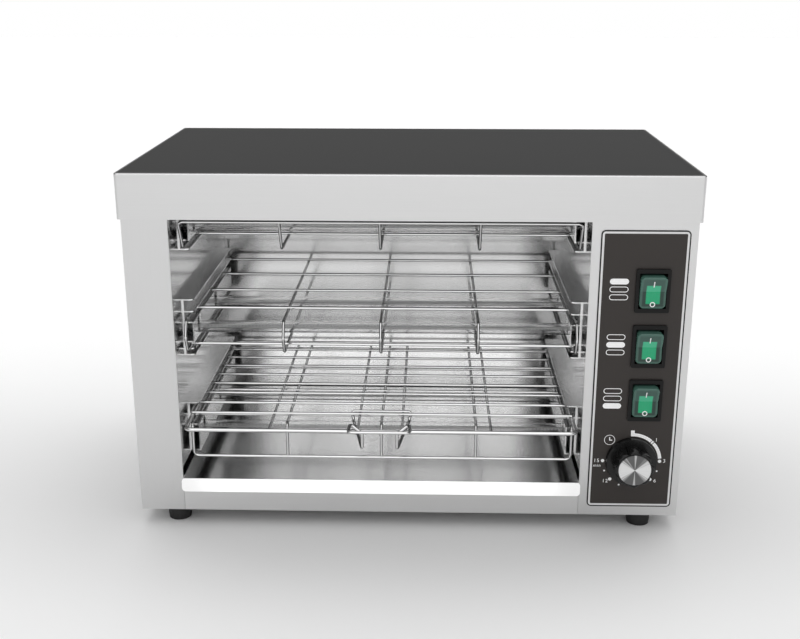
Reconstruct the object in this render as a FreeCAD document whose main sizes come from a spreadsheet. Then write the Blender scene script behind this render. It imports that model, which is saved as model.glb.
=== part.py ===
import FreeCAD, Part
import math
import os
import Sketcher
from FreeCAD import Placement, Rotation, Vector

# Two-tier quartz toaster for a shop counter: a sheet steel housing round an open cavity, side rails that
# hold six quartz tubes, welded wire guards and a sliding wire rack, a crumb tray below, and a control
# column with three rocker switches and a clockwork timer.
# Millimetres. X runs to the right, Y to the back, Z up. The origin is under the middle of the toaster,
# on the surface that the feet stand on. Depths marked "behind" count back from the cover's front face,
# and drops count down from the top of the cover.

DIMENSIONS = {
    # Housing
    "cover_width": 450,
    "cover_depth": 256,
    "cover_front": -117.06,
    "cover_apron": 36,
    "cover_corner": 2.5,
    "cover_edge": 1.2,
    "steel": 1,
    "body_inset": 2.8,
    "body_setback": 1.4,
    "foot_height": 12,
    "foot_radius": 9.65,
    "foot_tip_radius": 9.1,
    "foot_inset": 28.9,
    "foot_front_behind": 14.5,
    "foot_rear_inset": 14.5,
    "foot_recess": 5,
    "column_left": 36.2,
    "column_right": 81.2,
    "rear_flange": 14,
    "front_rail_height": 18.3,
    "tray_room": 19.8,
    "front_rail_flange": 15,
    "seam": 0.2,
    # Cavity
    "roof_drop": 12.3,
    "wall_skirt": 9.2,
    "back_room": 23.4,
    "back_skirt": 13.5,
    "wall_flange": 9,
    # Rails
    "rail_sheet": 1,
    "rail_reach": 9.5,
    "holder_reach": 8.5,
    "rail_front_behind": 36,
    "rail_back_gap": 19.6,
    "rail_corner": 4,
    "rack_channel": 9.1,
    "guard_slot": 8.2,
    "holder_room": 15.8,
    "lower_guard_slot": 5.1,
    "rail_foot": 4.2,
    "middle_rail_drop": 110.4,
    "tier_pitch": 90.6,
    "lower_holder_room": 22.7,
    "upper_holder_room": 46.8,
    "upper_guard_slot": 6.6,
    # Quartz tubes
    "tube_radius": 5,
    "tube_wall": 1,
    "tube_slot_radius": 6,
    "tube_front_behind": 57.5,
    "tube_pitch": 74.5,
    "upper_slot_depth": 45.8,
    "slot_depth": 35,
    "tube_rest_gap": 0.3,
    "tube_hole_radius": 6.5,
    "coil_radius": 1.9,
    "coil_end_gap": 4,
    "pin_radius": 0.8,
    "ceramic_radius": 8,
    "ceramic_length": 14,
    "ceramic_floor": 3,
    "ceramic_fit": 0.15,
    # Wire guards
    "guard_wire": 1.2,
    "weld_sink": 0.5,
    "guard_wire_pitch": 79,
    "guard_edge_inset": 5,
    "guard_back_gap": 2.6,
    "guard_bend": 4,
    "upper_guard_front_behind": 15.5,
    "upper_guard_lip_depth": 28.7,
    "upper_guard_knee_behind": 28.5,
    "upper_guard_depth": 52.7,
    "upper_guard_rod_behind": 73,
    "upper_guard_rod_inset": 48.4,
    "middle_guard_nose_behind": 18.5,
    "middle_guard_front_behind": 24.5,
    "guard_top_depth": 12.6,
    "guard_base_depth": 39,
    "middle_top_rod_behind": 56,
    "middle_base_rod_behind": 40,
    "middle_top_rod_inset": 11.4,
    "middle_base_rod_inset": 27.4,
    "lower_guard_front_behind": 25,
    "guard_foot_depth": 43.5,
    "lower_guard_rod_behind": 42,
    "lower_guard_rod_inset": 14,
    # Rack and its handle
    "rack_frame_wire": 1.75,
    "rack_rod_wire": 1.2,
    "rack_cross_wire": 1.1,
    "rack_front_behind": -3.5,
    "rack_first_rod_behind": 27.8,
    "rack_back_gap": 18.4,
    "rack_side_inset": 5,
    "rack_side_tail": 3,
    "rack_corner": 5,
    "rack_play": 0.3,
    "rack_inner_cross": 18,
    "rack_outer_cross": 90,
    "handle_wire": 1.25,
    "handle_width": 49.6,
    "handle_tip_width": 28.2,
    "handle_gap": 0.05,
    "handle_bar_behind": 32.4,
    "handle_dip_depth": 6.5,
    "handle_dip_run": 4,
    "handle_dip_inset": 1.5,
    "handle_tip_gap": 0.6,
    "handle_tip_depth": 21.6,
    "handle_limb_depth": 8,
    "handle_hump_depth": 1.6,
    "handle_hump_inset": 1,
    "handle_neck_reach": 12,
    "handle_neck_depth": 3,
    "handle_reach": 24,
    "handle_grip_depth": 0.2,
    "handle_bend": 2,
    # Crumb tray
    "tray_play": 0.3,
    "tray_side_gap": 0.4,
    "tray_wall": 11.7,
    "tray_rear_wall": 4,
    "tray_back_gap": 2.1,
    "tray_lip_front": 3,
    "tray_lip_height": 11.6,
    "tray_lip_corner": 3,
    "tray_lip_overlap": 0.5,
    "tray_support_gap": 27.6,
    # Control column
    "panel_left": 7,
    "panel_width": 68.5,
    "panel_base_gap": 8.1,
    "panel_top_drop": 42.2,
    "panel_sheet": 0.8,
    "panel_corner": 3.5,
    "switch_left": 35.5,
    "switch_top_drop": 72.5,
    "switch_pitch": 45.5,
    "bezel_width": 26.7,
    "bezel_height": 35,
    "bezel_depth": 2,
    "bezel_corner": 1.2,
    "switch_body_width": 24.4,
    "switch_body_height": 31.6,
    "switch_body_depth": 17,
    "switch_fit": 0.2,
    "rocker_well_depth": 12.5,
    "rocker_width": 20.8,
    "rocker_gap": 0.35,
    "rocker_half_height": 13.75,
    "rocker_half_base": 12.2,
    "rocker_well_half": 14.2,
    "rocker_face": 7.8,
    "rocker_crease": 5.5,
    "rocker_back": 6,
    "rocker_corner": 3.2,
    "rocker_pivot_radius": 1.5,
    "rocker_pivot_reach": 1.1,
    "rocker_travel": 19.4,
    "running_gap": 0.05,
    "timer_right": 41.1,
    "timer_drop": 234.3,
    "timer_width": 42,
    "timer_tall": 42,
    "timer_depth": 30,
    "bush_radius": 5,
    "bush_fit": 0.2,
    "nut_radius": 8,
    "nut_thickness": 2,
    "shaft_radius": 3,
    "shaft_in_timer": 20,
    "knob_gap": 0.5,
    "skirt_radius": 20.9,
    "skirt_thickness": 3.2,
    "skirt_draft": 0.6,
    "lobe_radius": 15.9,
    "valley_radius": 13.4,
    "grip_chamfer": 0.7,
    "knob_height": 17,
    "knob_recess_radius": 11,
    "knob_recess_depth": 3,
    "cap_radius": 12.9,
    "cap_thickness": 1.2,
    "cap_seat": 0.4,
    # Rear
    "gland_left": 42,
    "gland_height": 40,
    "gland_flange_radius": 10,
    "gland_draft": 1,
    "gland_neck_radius": 7,
    "gland_bore_radius": 4,
    "gland_reach": 6,
    "gland_depth": 10,
    "vent_width": 4,
    "vent_height": 36,
    "vent_pitch": 12,
    "vent_drop": 70,
    "terminal_width": 30,
    "terminal_depth": 18,
    "terminal_height": 14,
    # Screws
    "rear_screw_inset": 20,
    "cover_screw_inset": 8,
    "screw_radius": 2,
    "screw_head_radius": 3.8,
    "screw_head_height": 2,
    "screw_length": 6,
    "screw_fit": 0.15,
    "foot_screw_length": 12,
    "foot_nut_radius": 4,
    "foot_nut_height": 3.2,
}

SUMS = {
    "foot_rear_behind": "cover_depth - foot_rear_inset",
    "back_behind": "cover_depth - back_room",
    "rail_length": "back_behind - rail_front_behind - rail_back_gap",
    "guard_back_behind": "back_behind - guard_back_gap",
    "upper_guard_last_behind": "guard_back_behind - upper_guard_rod_inset",
    "middle_top_last_behind": "guard_back_behind - middle_top_rod_inset",
    "middle_base_last_behind": "guard_back_behind - middle_base_rod_inset",
    "lower_guard_last_behind": "guard_back_behind - lower_guard_rod_inset",
    "rack_last_rod_behind": "back_behind - rack_back_gap",
    "tray_back_behind": "back_behind - tray_back_gap",
    "tray_support_behind": "back_behind - tray_support_gap",
    "lower_rail_drop": "middle_rail_drop + tier_pitch",
    "upper_slot_drop": "roof_drop + upper_slot_depth",
    "middle_slot_drop": "middle_rail_drop + slot_depth",
    "lower_slot_drop": "lower_rail_drop + slot_depth",
    "wall_bottom_drop": "lower_slot_drop + wall_skirt",
    "back_base_drop": "wall_bottom_drop + back_skirt",
    "overall_height": "wall_bottom_drop + tray_room + front_rail_height + foot_height",
    "upper_guard_drop": "roof_drop + upper_guard_depth",
    "upper_guard_front_drop": "roof_drop + upper_guard_lip_depth",
    "middle_guard_top_drop": "middle_rail_drop + guard_top_depth",
    "middle_guard_base_drop": "middle_rail_drop + guard_base_depth",
    "lower_guard_drop": "lower_rail_drop + guard_top_depth",
    "lower_guard_foot_drop": "lower_rail_drop + guard_foot_depth",
    "handle_tip_drop": "lower_rail_drop + handle_tip_depth",
    "handle_limb_drop": "lower_rail_drop + handle_limb_depth",
    "handle_hump_drop": "lower_rail_drop + handle_hump_depth",
    "handle_neck_drop": "lower_rail_drop + handle_neck_depth",
    "handle_grip_drop": "lower_rail_drop + handle_grip_depth",
    "panel_height": "overall_height - foot_height - panel_top_drop - panel_base_gap",
}

VENT_COUNT = 9
LOBE_COUNT = 8
RACK_ROD_COUNT = 9
TUBE_ROWS = 2

os.makedirs("parts", exist_ok=True)
doc = FreeCAD.newDocument("quartz_toaster")
sheet = doc.addObject("Spreadsheet::Sheet", "Sizes")
entries = {alias: str(number) for alias, number in DIMENSIONS.items()}
entries.update({alias: f"={total}" for alias, total in SUMS.items()})
for row, alias in enumerate(entries, start=1):
    sheet.set(f"A{row}", alias)
    sheet.setAlias(f"B{row}", alias)
for row, content in enumerate(entries.values(), start=1):
    sheet.set(f"B{row}", content)
doc.recompute()


def text_of(value):
    """The expression text of a size or of a plain number."""
    return value.text if isinstance(value, Size) else repr(float(value))


class Size:
    """A length that carries both its number and the sheet expression that gives it."""

    def __init__(self, number, text):
        self.number = float(number)
        self.text = text

    def combine(self, sign, other, number):
        return Size(number, f"({self.text} {sign} {text_of(other)})")

    def __float__(self):
        return self.number

    def __add__(self, other):
        return self.combine("+", other, self.number + float(other))

    def __radd__(self, other):
        return self + other

    def __sub__(self, other):
        return self.combine("-", other, self.number - float(other))

    def __rsub__(self, other):
        return -self + other

    def __mul__(self, other):
        return self.combine("*", other, self.number * float(other))

    def __rmul__(self, other):
        return self * other

    def __truediv__(self, other):
        return self.combine("/", other, self.number / float(other))

    def __neg__(self):
        return Size(-self.number, f"(-1 * {self.text})")


class Sizes:
    """Every alias of the sheet as an attribute."""

    def __init__(self):
        for alias in entries:
            setattr(self, alias, Size(sheet.get(alias), f"Sizes.{alias}"))


size = Sizes()
SUBPARTS = []
CUTS = []
PLANES = {"x": "YZ_Plane", "y": "XZ_Plane", "z": "XY_Plane"}


def behind(depth):
    """The Y of a place that lies this far behind the cover's front face."""
    return size.cover_front + depth


def below(drop):
    """The Z of a place that lies this far below the top of the cover."""
    return size.overall_height - drop


def bind(item, path, value):
    """Tie a property to a size."""
    item.setExpression(path, text_of(value))


def outline(points):
    """A closed run of straight lines through points, each corner tied to its two sizes."""

    def draw(sketch):
        first = sketch.GeometryCount
        corners = [Vector(float(across), float(up), 0) for across, up in points]
        count = len(corners)
        for i in range(count):
            sketch.addGeometry(Part.LineSegment(corners[i], corners[(i + 1) % count]), False)
        for i in range(count):
            follower = first + (i + 1) % count
            sketch.addConstraint(Sketcher.Constraint("Coincident", first + i, 2, follower, 1))
        for i, (across, up) in enumerate(points):
            for kind, value in (("DistanceX", across), ("DistanceY", up)):
                constraint = Sketcher.Constraint(kind, -1, 1, first + i, 1, float(value))
                bind(sketch, f"Constraints[{sketch.addConstraint(constraint)}]", value)

    return draw


def rectangle(left, right, bottom, top):
    """A rectangle between two places across and two places up."""
    return outline([(left, bottom), (right, bottom), (right, top), (left, top)])


def circle(across, up, radius):
    """A circle tied to the sizes of its centre and radius."""

    def draw(sketch):
        centre = Vector(float(across), float(up), 0)
        ring = sketch.addGeometry(Part.Circle(centre, Vector(0, 0, 1), float(radius)), False)
        for kind, value in (("DistanceX", across), ("DistanceY", up)):
            constraint = Sketcher.Constraint(kind, -1, 1, ring, 3, float(value))
            bind(sketch, f"Constraints[{sketch.addConstraint(constraint)}]", value)
        constraint = Sketcher.Constraint("Radius", ring, float(radius))
        bind(sketch, f"Constraints[{sketch.addConstraint(constraint)}]", radius)

    return draw


def lobes(count, tip, valley):
    """A closed ring of equal arcs that bulge out to the tip radius and meet at the valley radius."""
    step = math.pi / count
    half_chord = valley * math.sin(step)
    rise = tip - valley * math.cos(step)
    bend = (half_chord * half_chord + rise * rise) / (rise * 2)

    def draw(sketch):
        first = sketch.GeometryCount
        turns = [(2 * i - 1) * step for i in range(count)]
        meetings = [(valley * math.cos(turned), valley * math.sin(turned)) for turned in turns]
        corners = [Vector(float(across), float(up), 0) for across, up in meetings]
        for i, turned in enumerate(turns):
            crest = Vector(math.cos(turned + step), math.sin(turned + step), 0) * float(tip)
            sketch.addGeometry(Part.Arc(corners[i], crest, corners[(i + 1) % count]), False)
        for i, (across, up) in enumerate(meetings):
            follower = first + (i + 1) % count
            sketch.addConstraint(Sketcher.Constraint("Coincident", first + i, 2, follower, 1))
            for kind, value in (("DistanceX", across), ("DistanceY", up)):
                constraint = Sketcher.Constraint(kind, -1, 1, first + i, 1, float(value))
                bind(sketch, f"Constraints[{sketch.addConstraint(constraint)}]", value)
            constraint = Sketcher.Constraint("Radius", first + i, float(bend))
            bind(sketch, f"Constraints[{sketch.addConstraint(constraint)}]", bend)

    return draw


def new_body(label):
    """An empty body that becomes the sub-part of this name."""
    body = doc.addObject("PartDesign::Body", label)
    body.Label = label
    SUBPARTS.append(body)
    return body


def add_sketch(body, axis, start, loops):
    """A sketch across one axis of the body, lying at start along that axis."""
    sketch = body.newObject("Sketcher::SketchObject", f"{body.Name}_sketch")
    plane = next(item for item in body.Origin.OriginFeatures if item.Role == PLANES[axis])
    sketch.AttachmentSupport = [(plane, "")]
    sketch.MapMode = "FlatFace"
    bind(sketch, "AttachmentOffset.Base.z", -start if axis == "y" else start)
    for draw in loops:
        draw(sketch)
    return sketch


def pad(body, axis, start, length, *loops):
    """Extrude the loops from start, this far along the axis."""
    feature = body.newObject("PartDesign::Pad", f"{body.Name}_pad")
    feature.Profile = add_sketch(body, axis, start, loops)
    feature.Reversed = axis == "y"
    bind(feature, "Length", length)
    body.Tip = feature
    return feature


def cut(body, axis, start, length, *loops):
    """Cut the loops away from start, this far along the axis."""
    base = body.Tip
    feature = body.newObject("PartDesign::Pocket", f"{body.Name}_pocket")
    feature.Profile = add_sketch(body, axis, start, loops)
    feature.Reversed = axis != "y"
    bind(feature, "Length", length)
    body.Tip = feature
    CUTS.append((base, feature))
    return feature


def turn(body, points):
    """Turn a profile of (radius, height) corners about the body's Z axis."""
    feature = body.newObject("PartDesign::Revolution", f"{body.Name}_turned")
    feature.Profile = add_sketch(body, "y", 0, [outline(points)])
    feature.ReferenceAxis = (feature.Profile[0], ["V_Axis"])
    feature.Angle = 360
    body.Tip = feature
    return feature


def round_edges(body, radius, chosen):
    """Round every edge of the body that the test chooses."""
    doc.recompute()
    base = body.Tip
    names = [f"Edge{i + 1}" for i, edge in enumerate(base.Shape.Edges) if chosen(edge)]
    feature = body.newObject("PartDesign::Fillet", f"{body.Name}_round")
    feature.Base = (base, names)
    bind(feature, "Radius", radius)
    body.Tip = feature
    return feature


def soften_edges(body, reach, chosen):
    """Chamfer every edge of the body that the test chooses."""
    doc.recompute()
    base = body.Tip
    names = [f"Edge{i + 1}" for i, edge in enumerate(base.Shape.Edges) if chosen(edge)]
    feature = body.newObject("PartDesign::Chamfer", f"{body.Name}_chamfer")
    feature.Base = (base, names)
    bind(feature, "Size", reach)
    body.Tip = feature
    return feature


def runs_along(edge, axis):
    """True for a straight edge along this axis."""
    if edge.Curve.TypeId != "Part::GeomLine":
        return False
    way = edge.tangentAt(edge.FirstParameter)
    return abs(abs(getattr(way, axis)) - 1) < 1e-6


def near(value, place):
    """True where a coordinate lies at a size."""
    return abs(value - float(place)) < 1e-4


def middle_of(edge):
    """The centre of an edge's bounding box."""
    return edge.BoundBox.Center


def face_panel(body, right, height, depth=0, tilt=0):
    """Stand a body on the control panel: its Z points out of the panel, its Y up."""
    body.Placement = Placement(Vector(0, 0, 0), Rotation(Vector(1, 0, 0), 90 + float(tilt)))
    bind(body, "Placement.Base.x", right)
    bind(body, "Placement.Base.y", panel_front + depth)
    bind(body, "Placement.Base.z", height)


def add_solids(label, shape):
    """A sub-part whose shape is worked out here from the sheet's sizes."""
    feature = doc.addObject("Part::Feature", label)
    feature.Label = label
    feature.Shape = shape
    feature.Placement = Placement()
    SUBPARTS.append(feature)
    return feature


def point(across, back, up):
    """A point from three sizes."""
    return Vector(float(across), float(back), float(up))


def rod(start, end, radius):
    """A straight wire between two points."""
    return Part.makeCylinder(float(radius), (end - start).Length, start, end - start)


def bent_wire(points, radius, bend):
    """A wire through points, its corners rounded to the bend radius."""
    edges = []
    start = points[0]
    for before, corner, after in zip(points, points[1:], points[2:]):
        arriving = (corner - before).normalize()
        leaving = (after - corner).normalize()
        half_turn = arriving.getAngle(leaving) / 2
        reach = float(bend) * math.tan(half_turn)
        inward = (leaving - arriving).normalize()
        arc_start = corner - arriving * reach
        arc_end = corner + leaving * reach
        arc_middle = corner + inward * (float(bend) / math.cos(half_turn) - float(bend))
        edges.append(Part.LineSegment(start, arc_start).toShape())
        edges.append(Part.Arc(arc_start, arc_middle, arc_end).toShape())
        start = arc_end
    edges.append(Part.LineSegment(start, points[-1]).toShape())
    profile = Part.Wire(Part.makeCircle(float(radius), points[0], points[1] - points[0]))
    return Part.Wire(edges).makePipeShell([profile], True, False)


def weld(pieces):
    """One solid from wires that are welded where they cross."""
    joined = pieces[0].fuse(pieces[1:])
    return joined.Solids[0] if len(joined.Solids) == 1 else joined


# Places that several pieces share
body_half = size.cover_width / 2 - size.body_inset
body_bottom = size.foot_height
body_top = size.overall_height - size.steel
front_face = behind(size.body_setback)
rear_face = behind(size.cover_depth - size.body_setback)
wall_left = -(body_half - size.column_left)
wall_right = body_half - size.column_right
cavity_middle = (wall_left + wall_right) / 2
roof = below(size.roof_drop)
back_wall = behind(size.back_behind)
rail_top = body_bottom + size.front_rail_height
panel_front = front_face - size.panel_sheet
panel_left = wall_right + size.panel_left
switch_middle = wall_right + size.switch_left + size.bezel_width / 2
timer_middle = wall_right + size.timer_right
timer_height = below(size.timer_drop)
tube_places = [behind(size.tube_front_behind + row * size.tube_pitch) for row in range(TUBE_ROWS)]
slot_bottoms = {
    "upper": below(size.upper_slot_drop),
    "middle": below(size.middle_slot_drop),
    "lower": below(size.lower_slot_drop),
}
rack_channel_floor = below(size.lower_rail_drop + size.rail_sheet + size.rack_channel)
rack_frame_height = rack_channel_floor + size.rack_play + size.rack_frame_wire
rack_rod_height = rack_frame_height + size.rack_frame_wire + size.rack_rod_wire - size.weld_sink
rack_cross_height = rack_rod_height - size.rack_rod_wire - size.rack_cross_wire + size.weld_sink
WALLS = {"left": (wall_left, 1), "right": (wall_right, -1)}


def tube_axis(level):
    """The height of the tubes that rest in one level's slots."""
    return slot_bottoms[level] + size.tube_radius + size.tube_rest_gap


def switch_height(index):
    """The height of a rocker switch's centre, counted from the top one."""
    return below(size.switch_top_drop + size.bezel_height / 2 + index * size.switch_pitch)


def screw(seat, way, length):
    """A pan-head screw whose head rests on seat and whose shank runs this way."""
    head = Part.makeCylinder(float(size.screw_head_radius), float(size.screw_head_height), seat, way * -1)
    shank = Part.makeCylinder(float(size.screw_radius), float(length), seat, way)
    return head.fuse(shank)


def build_cover():
    """The top cover: a folded pan whose apron hangs over the housing on all four sides."""
    body = new_body("top_cover")
    half = size.cover_width / 2
    bottom = below(size.cover_apron)
    block = rectangle(-half, half, behind(0), behind(size.cover_depth))
    pad(body, "z", bottom, size.cover_apron, block)
    round_edges(body, size.cover_corner, lambda edge: runs_along(edge, "z"))
    round_edges(body, size.cover_edge, lambda edge: near(edge.BoundBox.ZMin, size.overall_height))
    inner = half - size.steel
    hollow = rectangle(-inner, inner, behind(size.steel), behind(size.cover_depth - size.steel))
    cut(body, "z", bottom, size.cover_apron - size.steel, hollow)
    hole = size.screw_radius + size.screw_fit
    drill = [circle(across, cover_screw_height, hole) for across in cover_screw_places]
    cut(body, "y", behind(size.cover_depth - 2 * size.steel), 3 * size.steel, *drill)


def build_side_panel(side):
    """A side of the housing with its folded front column and its rear flange."""
    wall, inward = WALLS[side]
    body = new_body(f"{side}_side_panel")
    outer = -inward * body_half
    inner = outer + inward * size.steel
    flange = outer + inward * size.rear_flange
    fold = [
        (outer, front_face),
        (wall, front_face),
        (wall, front_face + size.steel),
        (inner, front_face + size.steel),
        (inner, rear_face - size.steel),
        (flange, rear_face - size.steel),
        (flange, rear_face),
        (outer, rear_face),
    ]
    pad(body, "z", body_bottom, body_top - body_bottom, outline(fold))
    hole = size.screw_radius + size.screw_fit
    drill = [circle(inward * -rear_screw_across, height, hole) for height in rear_screw_heights]
    cut(body, "y", rear_face - 2 * size.steel, 3 * size.steel, *drill)
    return body


def build_control_column():
    """The right side panel has windows for the switches and a hole for the timer's bush."""
    body = build_side_panel("right")
    cut(body, "y", front_face - size.steel, 3 * size.steel, *panel_windows())


def panel_windows():
    """The openings that the control column and its plate share."""
    half_width = size.switch_body_width / 2 + size.switch_fit
    half_height = size.switch_body_height / 2 + size.switch_fit
    loops = []
    for index in range(3):
        centre = switch_height(index)
        sides = (switch_middle - half_width, switch_middle + half_width)
        loops.append(rectangle(*sides, centre - half_height, centre + half_height))
    loops.append(circle(timer_middle, timer_height, size.bush_radius + size.bush_fit))
    return loops


def build_control_plate():
    """The printed plate on the control column."""
    body = new_body("control_plate")
    top = below(size.panel_top_drop)
    plate = rectangle(panel_left, panel_left + size.panel_width, top - size.panel_height, top)
    pad(body, "y", panel_front, size.panel_sheet, plate)
    round_edges(body, size.panel_corner, lambda edge: runs_along(edge, "y"))
    cut(body, "y", panel_front - size.panel_sheet, 3 * size.panel_sheet, *panel_windows())


def build_rear_panel():
    """The rear panel, behind the side panels' flanges, with vents and the gland's hole."""
    body = new_body("rear_panel")
    half = body_half - size.steel
    inner_face = rear_face - 2 * size.steel
    pad(body, "y", inner_face, size.steel, rectangle(-half, half, body_bottom, body_top))
    hole = size.screw_radius + size.screw_fit
    loops = [circle(gland_across, gland_up, size.gland_neck_radius + size.screw_fit)]
    for height in rear_screw_heights:
        loops += [circle(side * rear_screw_across, height, hole) for side in (-1, 1)]
    loops += [circle(across, cover_screw_height, hole) for across in cover_screw_places]
    top = below(size.vent_drop)
    for index in range(VENT_COUNT):
        middle = (index - (VENT_COUNT - 1) / 2) * size.vent_pitch
        sides = (middle - size.vent_width / 2, middle + size.vent_width / 2)
        loops.append(rectangle(*sides, top - size.vent_height, top))
    cut(body, "y", inner_face - size.steel, 3 * size.steel, *loops)


def build_base():
    """The base plate and the front rail that closes the housing below the tray."""
    body = new_body("base_plate")
    half = body_half - size.steel
    front = front_face + size.steel
    back = rear_face - 2 * size.steel
    pad(body, "z", body_bottom, size.steel, rectangle(-half, half, front, back))
    hole = size.screw_radius + size.screw_fit
    drill = [circle(across, place, hole) for across, place in foot_places]
    cut(body, "z", body_bottom - size.steel, 3 * size.steel, *drill)

    rail = new_body("front_rail")
    flange = front_face + size.front_rail_flange
    fold = [
        (front_face, body_bottom),
        (front, body_bottom),
        (front, rail_top - size.steel),
        (flange, rail_top - size.steel),
        (flange, rail_top),
        (front_face, rail_top),
    ]
    span = wall_right - wall_left - 2 * size.seam
    pad(rail, "x", wall_left + size.seam, span, outline(fold))

    support = new_body("tray_support")
    place = behind(size.tray_support_behind)
    fold = [
        (place, body_bottom + size.steel),
        (place + size.front_rail_flange, body_bottom + size.steel),
        (place + size.front_rail_flange, body_bottom + 2 * size.steel),
        (place + size.steel, body_bottom + 2 * size.steel),
        (place + size.steel, rail_top - size.steel),
        (place + size.front_rail_flange, rail_top - size.steel),
        (place + size.front_rail_flange, rail_top),
        (place, rail_top),
    ]
    pad(support, "x", wall_left + size.seam, span, outline(fold))


def build_cavity():
    """The reflector: two side walls with folded edges, the back and the roof."""
    bottom = below(size.wall_bottom_drop)
    start = front_face + size.steel
    for side, (wall, inward) in WALLS.items():
        body = new_body(f"{side}_cavity_wall")
        outside = wall - inward * size.steel
        flange = wall - inward * size.wall_flange
        fold = [
            (wall, bottom),
            (wall, roof),
            (flange, roof),
            (flange, roof - size.steel),
            (outside, roof - size.steel),
            (outside, bottom + size.steel),
            (flange, bottom + size.steel),
            (flange, bottom),
        ]
        pad(body, "y", start, back_wall - start, outline(fold))
        holes = [circle(y, tube_axis(level), size.tube_hole_radius) for level in slot_bottoms for y in tube_places]
        cut(body, "x", wall - 2 * size.steel, 4 * size.steel, *holes)

    back = new_body("cavity_back")
    left = wall_left - size.wall_flange
    right = wall_right + size.wall_flange
    pad(back, "y", back_wall, size.steel, rectangle(left, right, below(size.back_base_drop), roof))
    top = new_body("cavity_roof")
    pad(top, "z", roof, size.steel, rectangle(left, right, start, back_wall + size.steel))


def rail_outline(wall, inward, top, bays, closed_from, closed_to):
    """The section of a folded rail, as (across, up) corners.

    It starts at the wall under the top flange. Each bay is (room, reach): a clear height and how far the
    flange below it stands out. Between closed_from and closed_to the section is closed by an inner plate.
    """
    back = wall + inward * size.rail_sheet
    corners = [(wall, top), (wall + inward * size.rail_reach, top)]
    height = top - size.rail_sheet
    reach = size.rail_reach
    for index, (room, next_reach) in enumerate(bays):
        if closed_from <= index < closed_to:
            height = height - room - size.rail_sheet
            reach = next_reach
            continue
        edge = wall + inward * reach
        corners += [(edge, height), (back, height)]
        height = height - room
        corners += [(back, height), (wall + inward * next_reach, height)]
        height = height - size.rail_sheet
        reach = next_reach
    corners += [(wall + inward * reach, height), (wall, height)]
    return corners


def build_rail(side, level, front, length, top, bays, closed):
    """A folded side rail: open channels for the rack and guards and a closed holder for the tubes."""
    wall, inward = WALLS[side]
    body = new_body(f"{level}_{side}_rail")
    section = outline(rail_outline(wall, inward, top, bays, closed, closed + 1))
    above = top - size.rail_sheet
    for room, reach in bays[:closed]:
        above = above - room - size.rail_sheet
    near_edge = wall + inward * size.rail_sheet
    far_edge = wall + inward * (size.holder_reach - size.rail_sheet)
    floor = above - bays[closed][0]
    holder = rectangle(near_edge, far_edge, floor, above)
    pad(body, "y", front, length, section, holder)
    reaches = (wall + inward * size.rail_reach, wall + inward * size.holder_reach)

    def is_front_corner(edge):
        centre = middle_of(edge)
        return (
            runs_along(edge, "z")
            and near(centre.y, front)
            and near(edge.Length, size.rail_sheet)
            and any(near(centre.x, reach) for reach in reaches)
        )

    round_edges(body, size.rail_corner, is_front_corner)
    axis = tube_axis(level)
    slot = slot_bottoms[level] + size.tube_slot_radius
    plate = wall + inward * size.holder_reach
    plate_start = plate - inward * size.rail_sheet * 1.5
    mouths = []
    for place in tube_places:
        sides = (place - size.tube_slot_radius, place + size.tube_slot_radius)
        mouths.append(rectangle(*sides, slot, above))
    start = plate_start if inward > 0 else plate - size.rail_sheet / 2
    cut(body, "x", start, 2 * size.rail_sheet, *mouths)
    rounds = [circle(place, slot, size.tube_slot_radius) for place in tube_places]
    cut(body, "x", start, 2 * size.rail_sheet, *rounds)
    holes = [circle(place, axis, size.tube_hole_radius) for place in tube_places]
    cut(body, "x", wall - size.rail_sheet * 1.5, 3 * size.rail_sheet, *holes)


def build_rails():
    """Three levels of rails on each side wall."""
    front = behind(size.rail_front_behind)
    deep = size.rail_reach
    short = size.holder_reach
    middle_bays = [
        (size.rack_channel, deep),
        (size.guard_slot, short),
        (size.holder_room, short),
        (size.lower_guard_slot, short),
        (size.rail_foot, short),
    ]
    lower_bays = [
        (size.rack_channel, deep),
        (size.guard_slot, short),
        (size.lower_holder_room, short),
    ]
    upper_bays = [
        (size.upper_holder_room, short),
        (size.upper_guard_slot, short),
    ]
    for side in WALLS:
        build_rail(side, "upper", front, size.rail_length, roof, upper_bays, 0)
        build_rail(side, "middle", front, size.rail_length, below(size.middle_rail_drop), middle_bays, 2)
        build_rail(side, "lower", front, size.rail_length, below(size.lower_rail_drop), lower_bays, 2)


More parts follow.
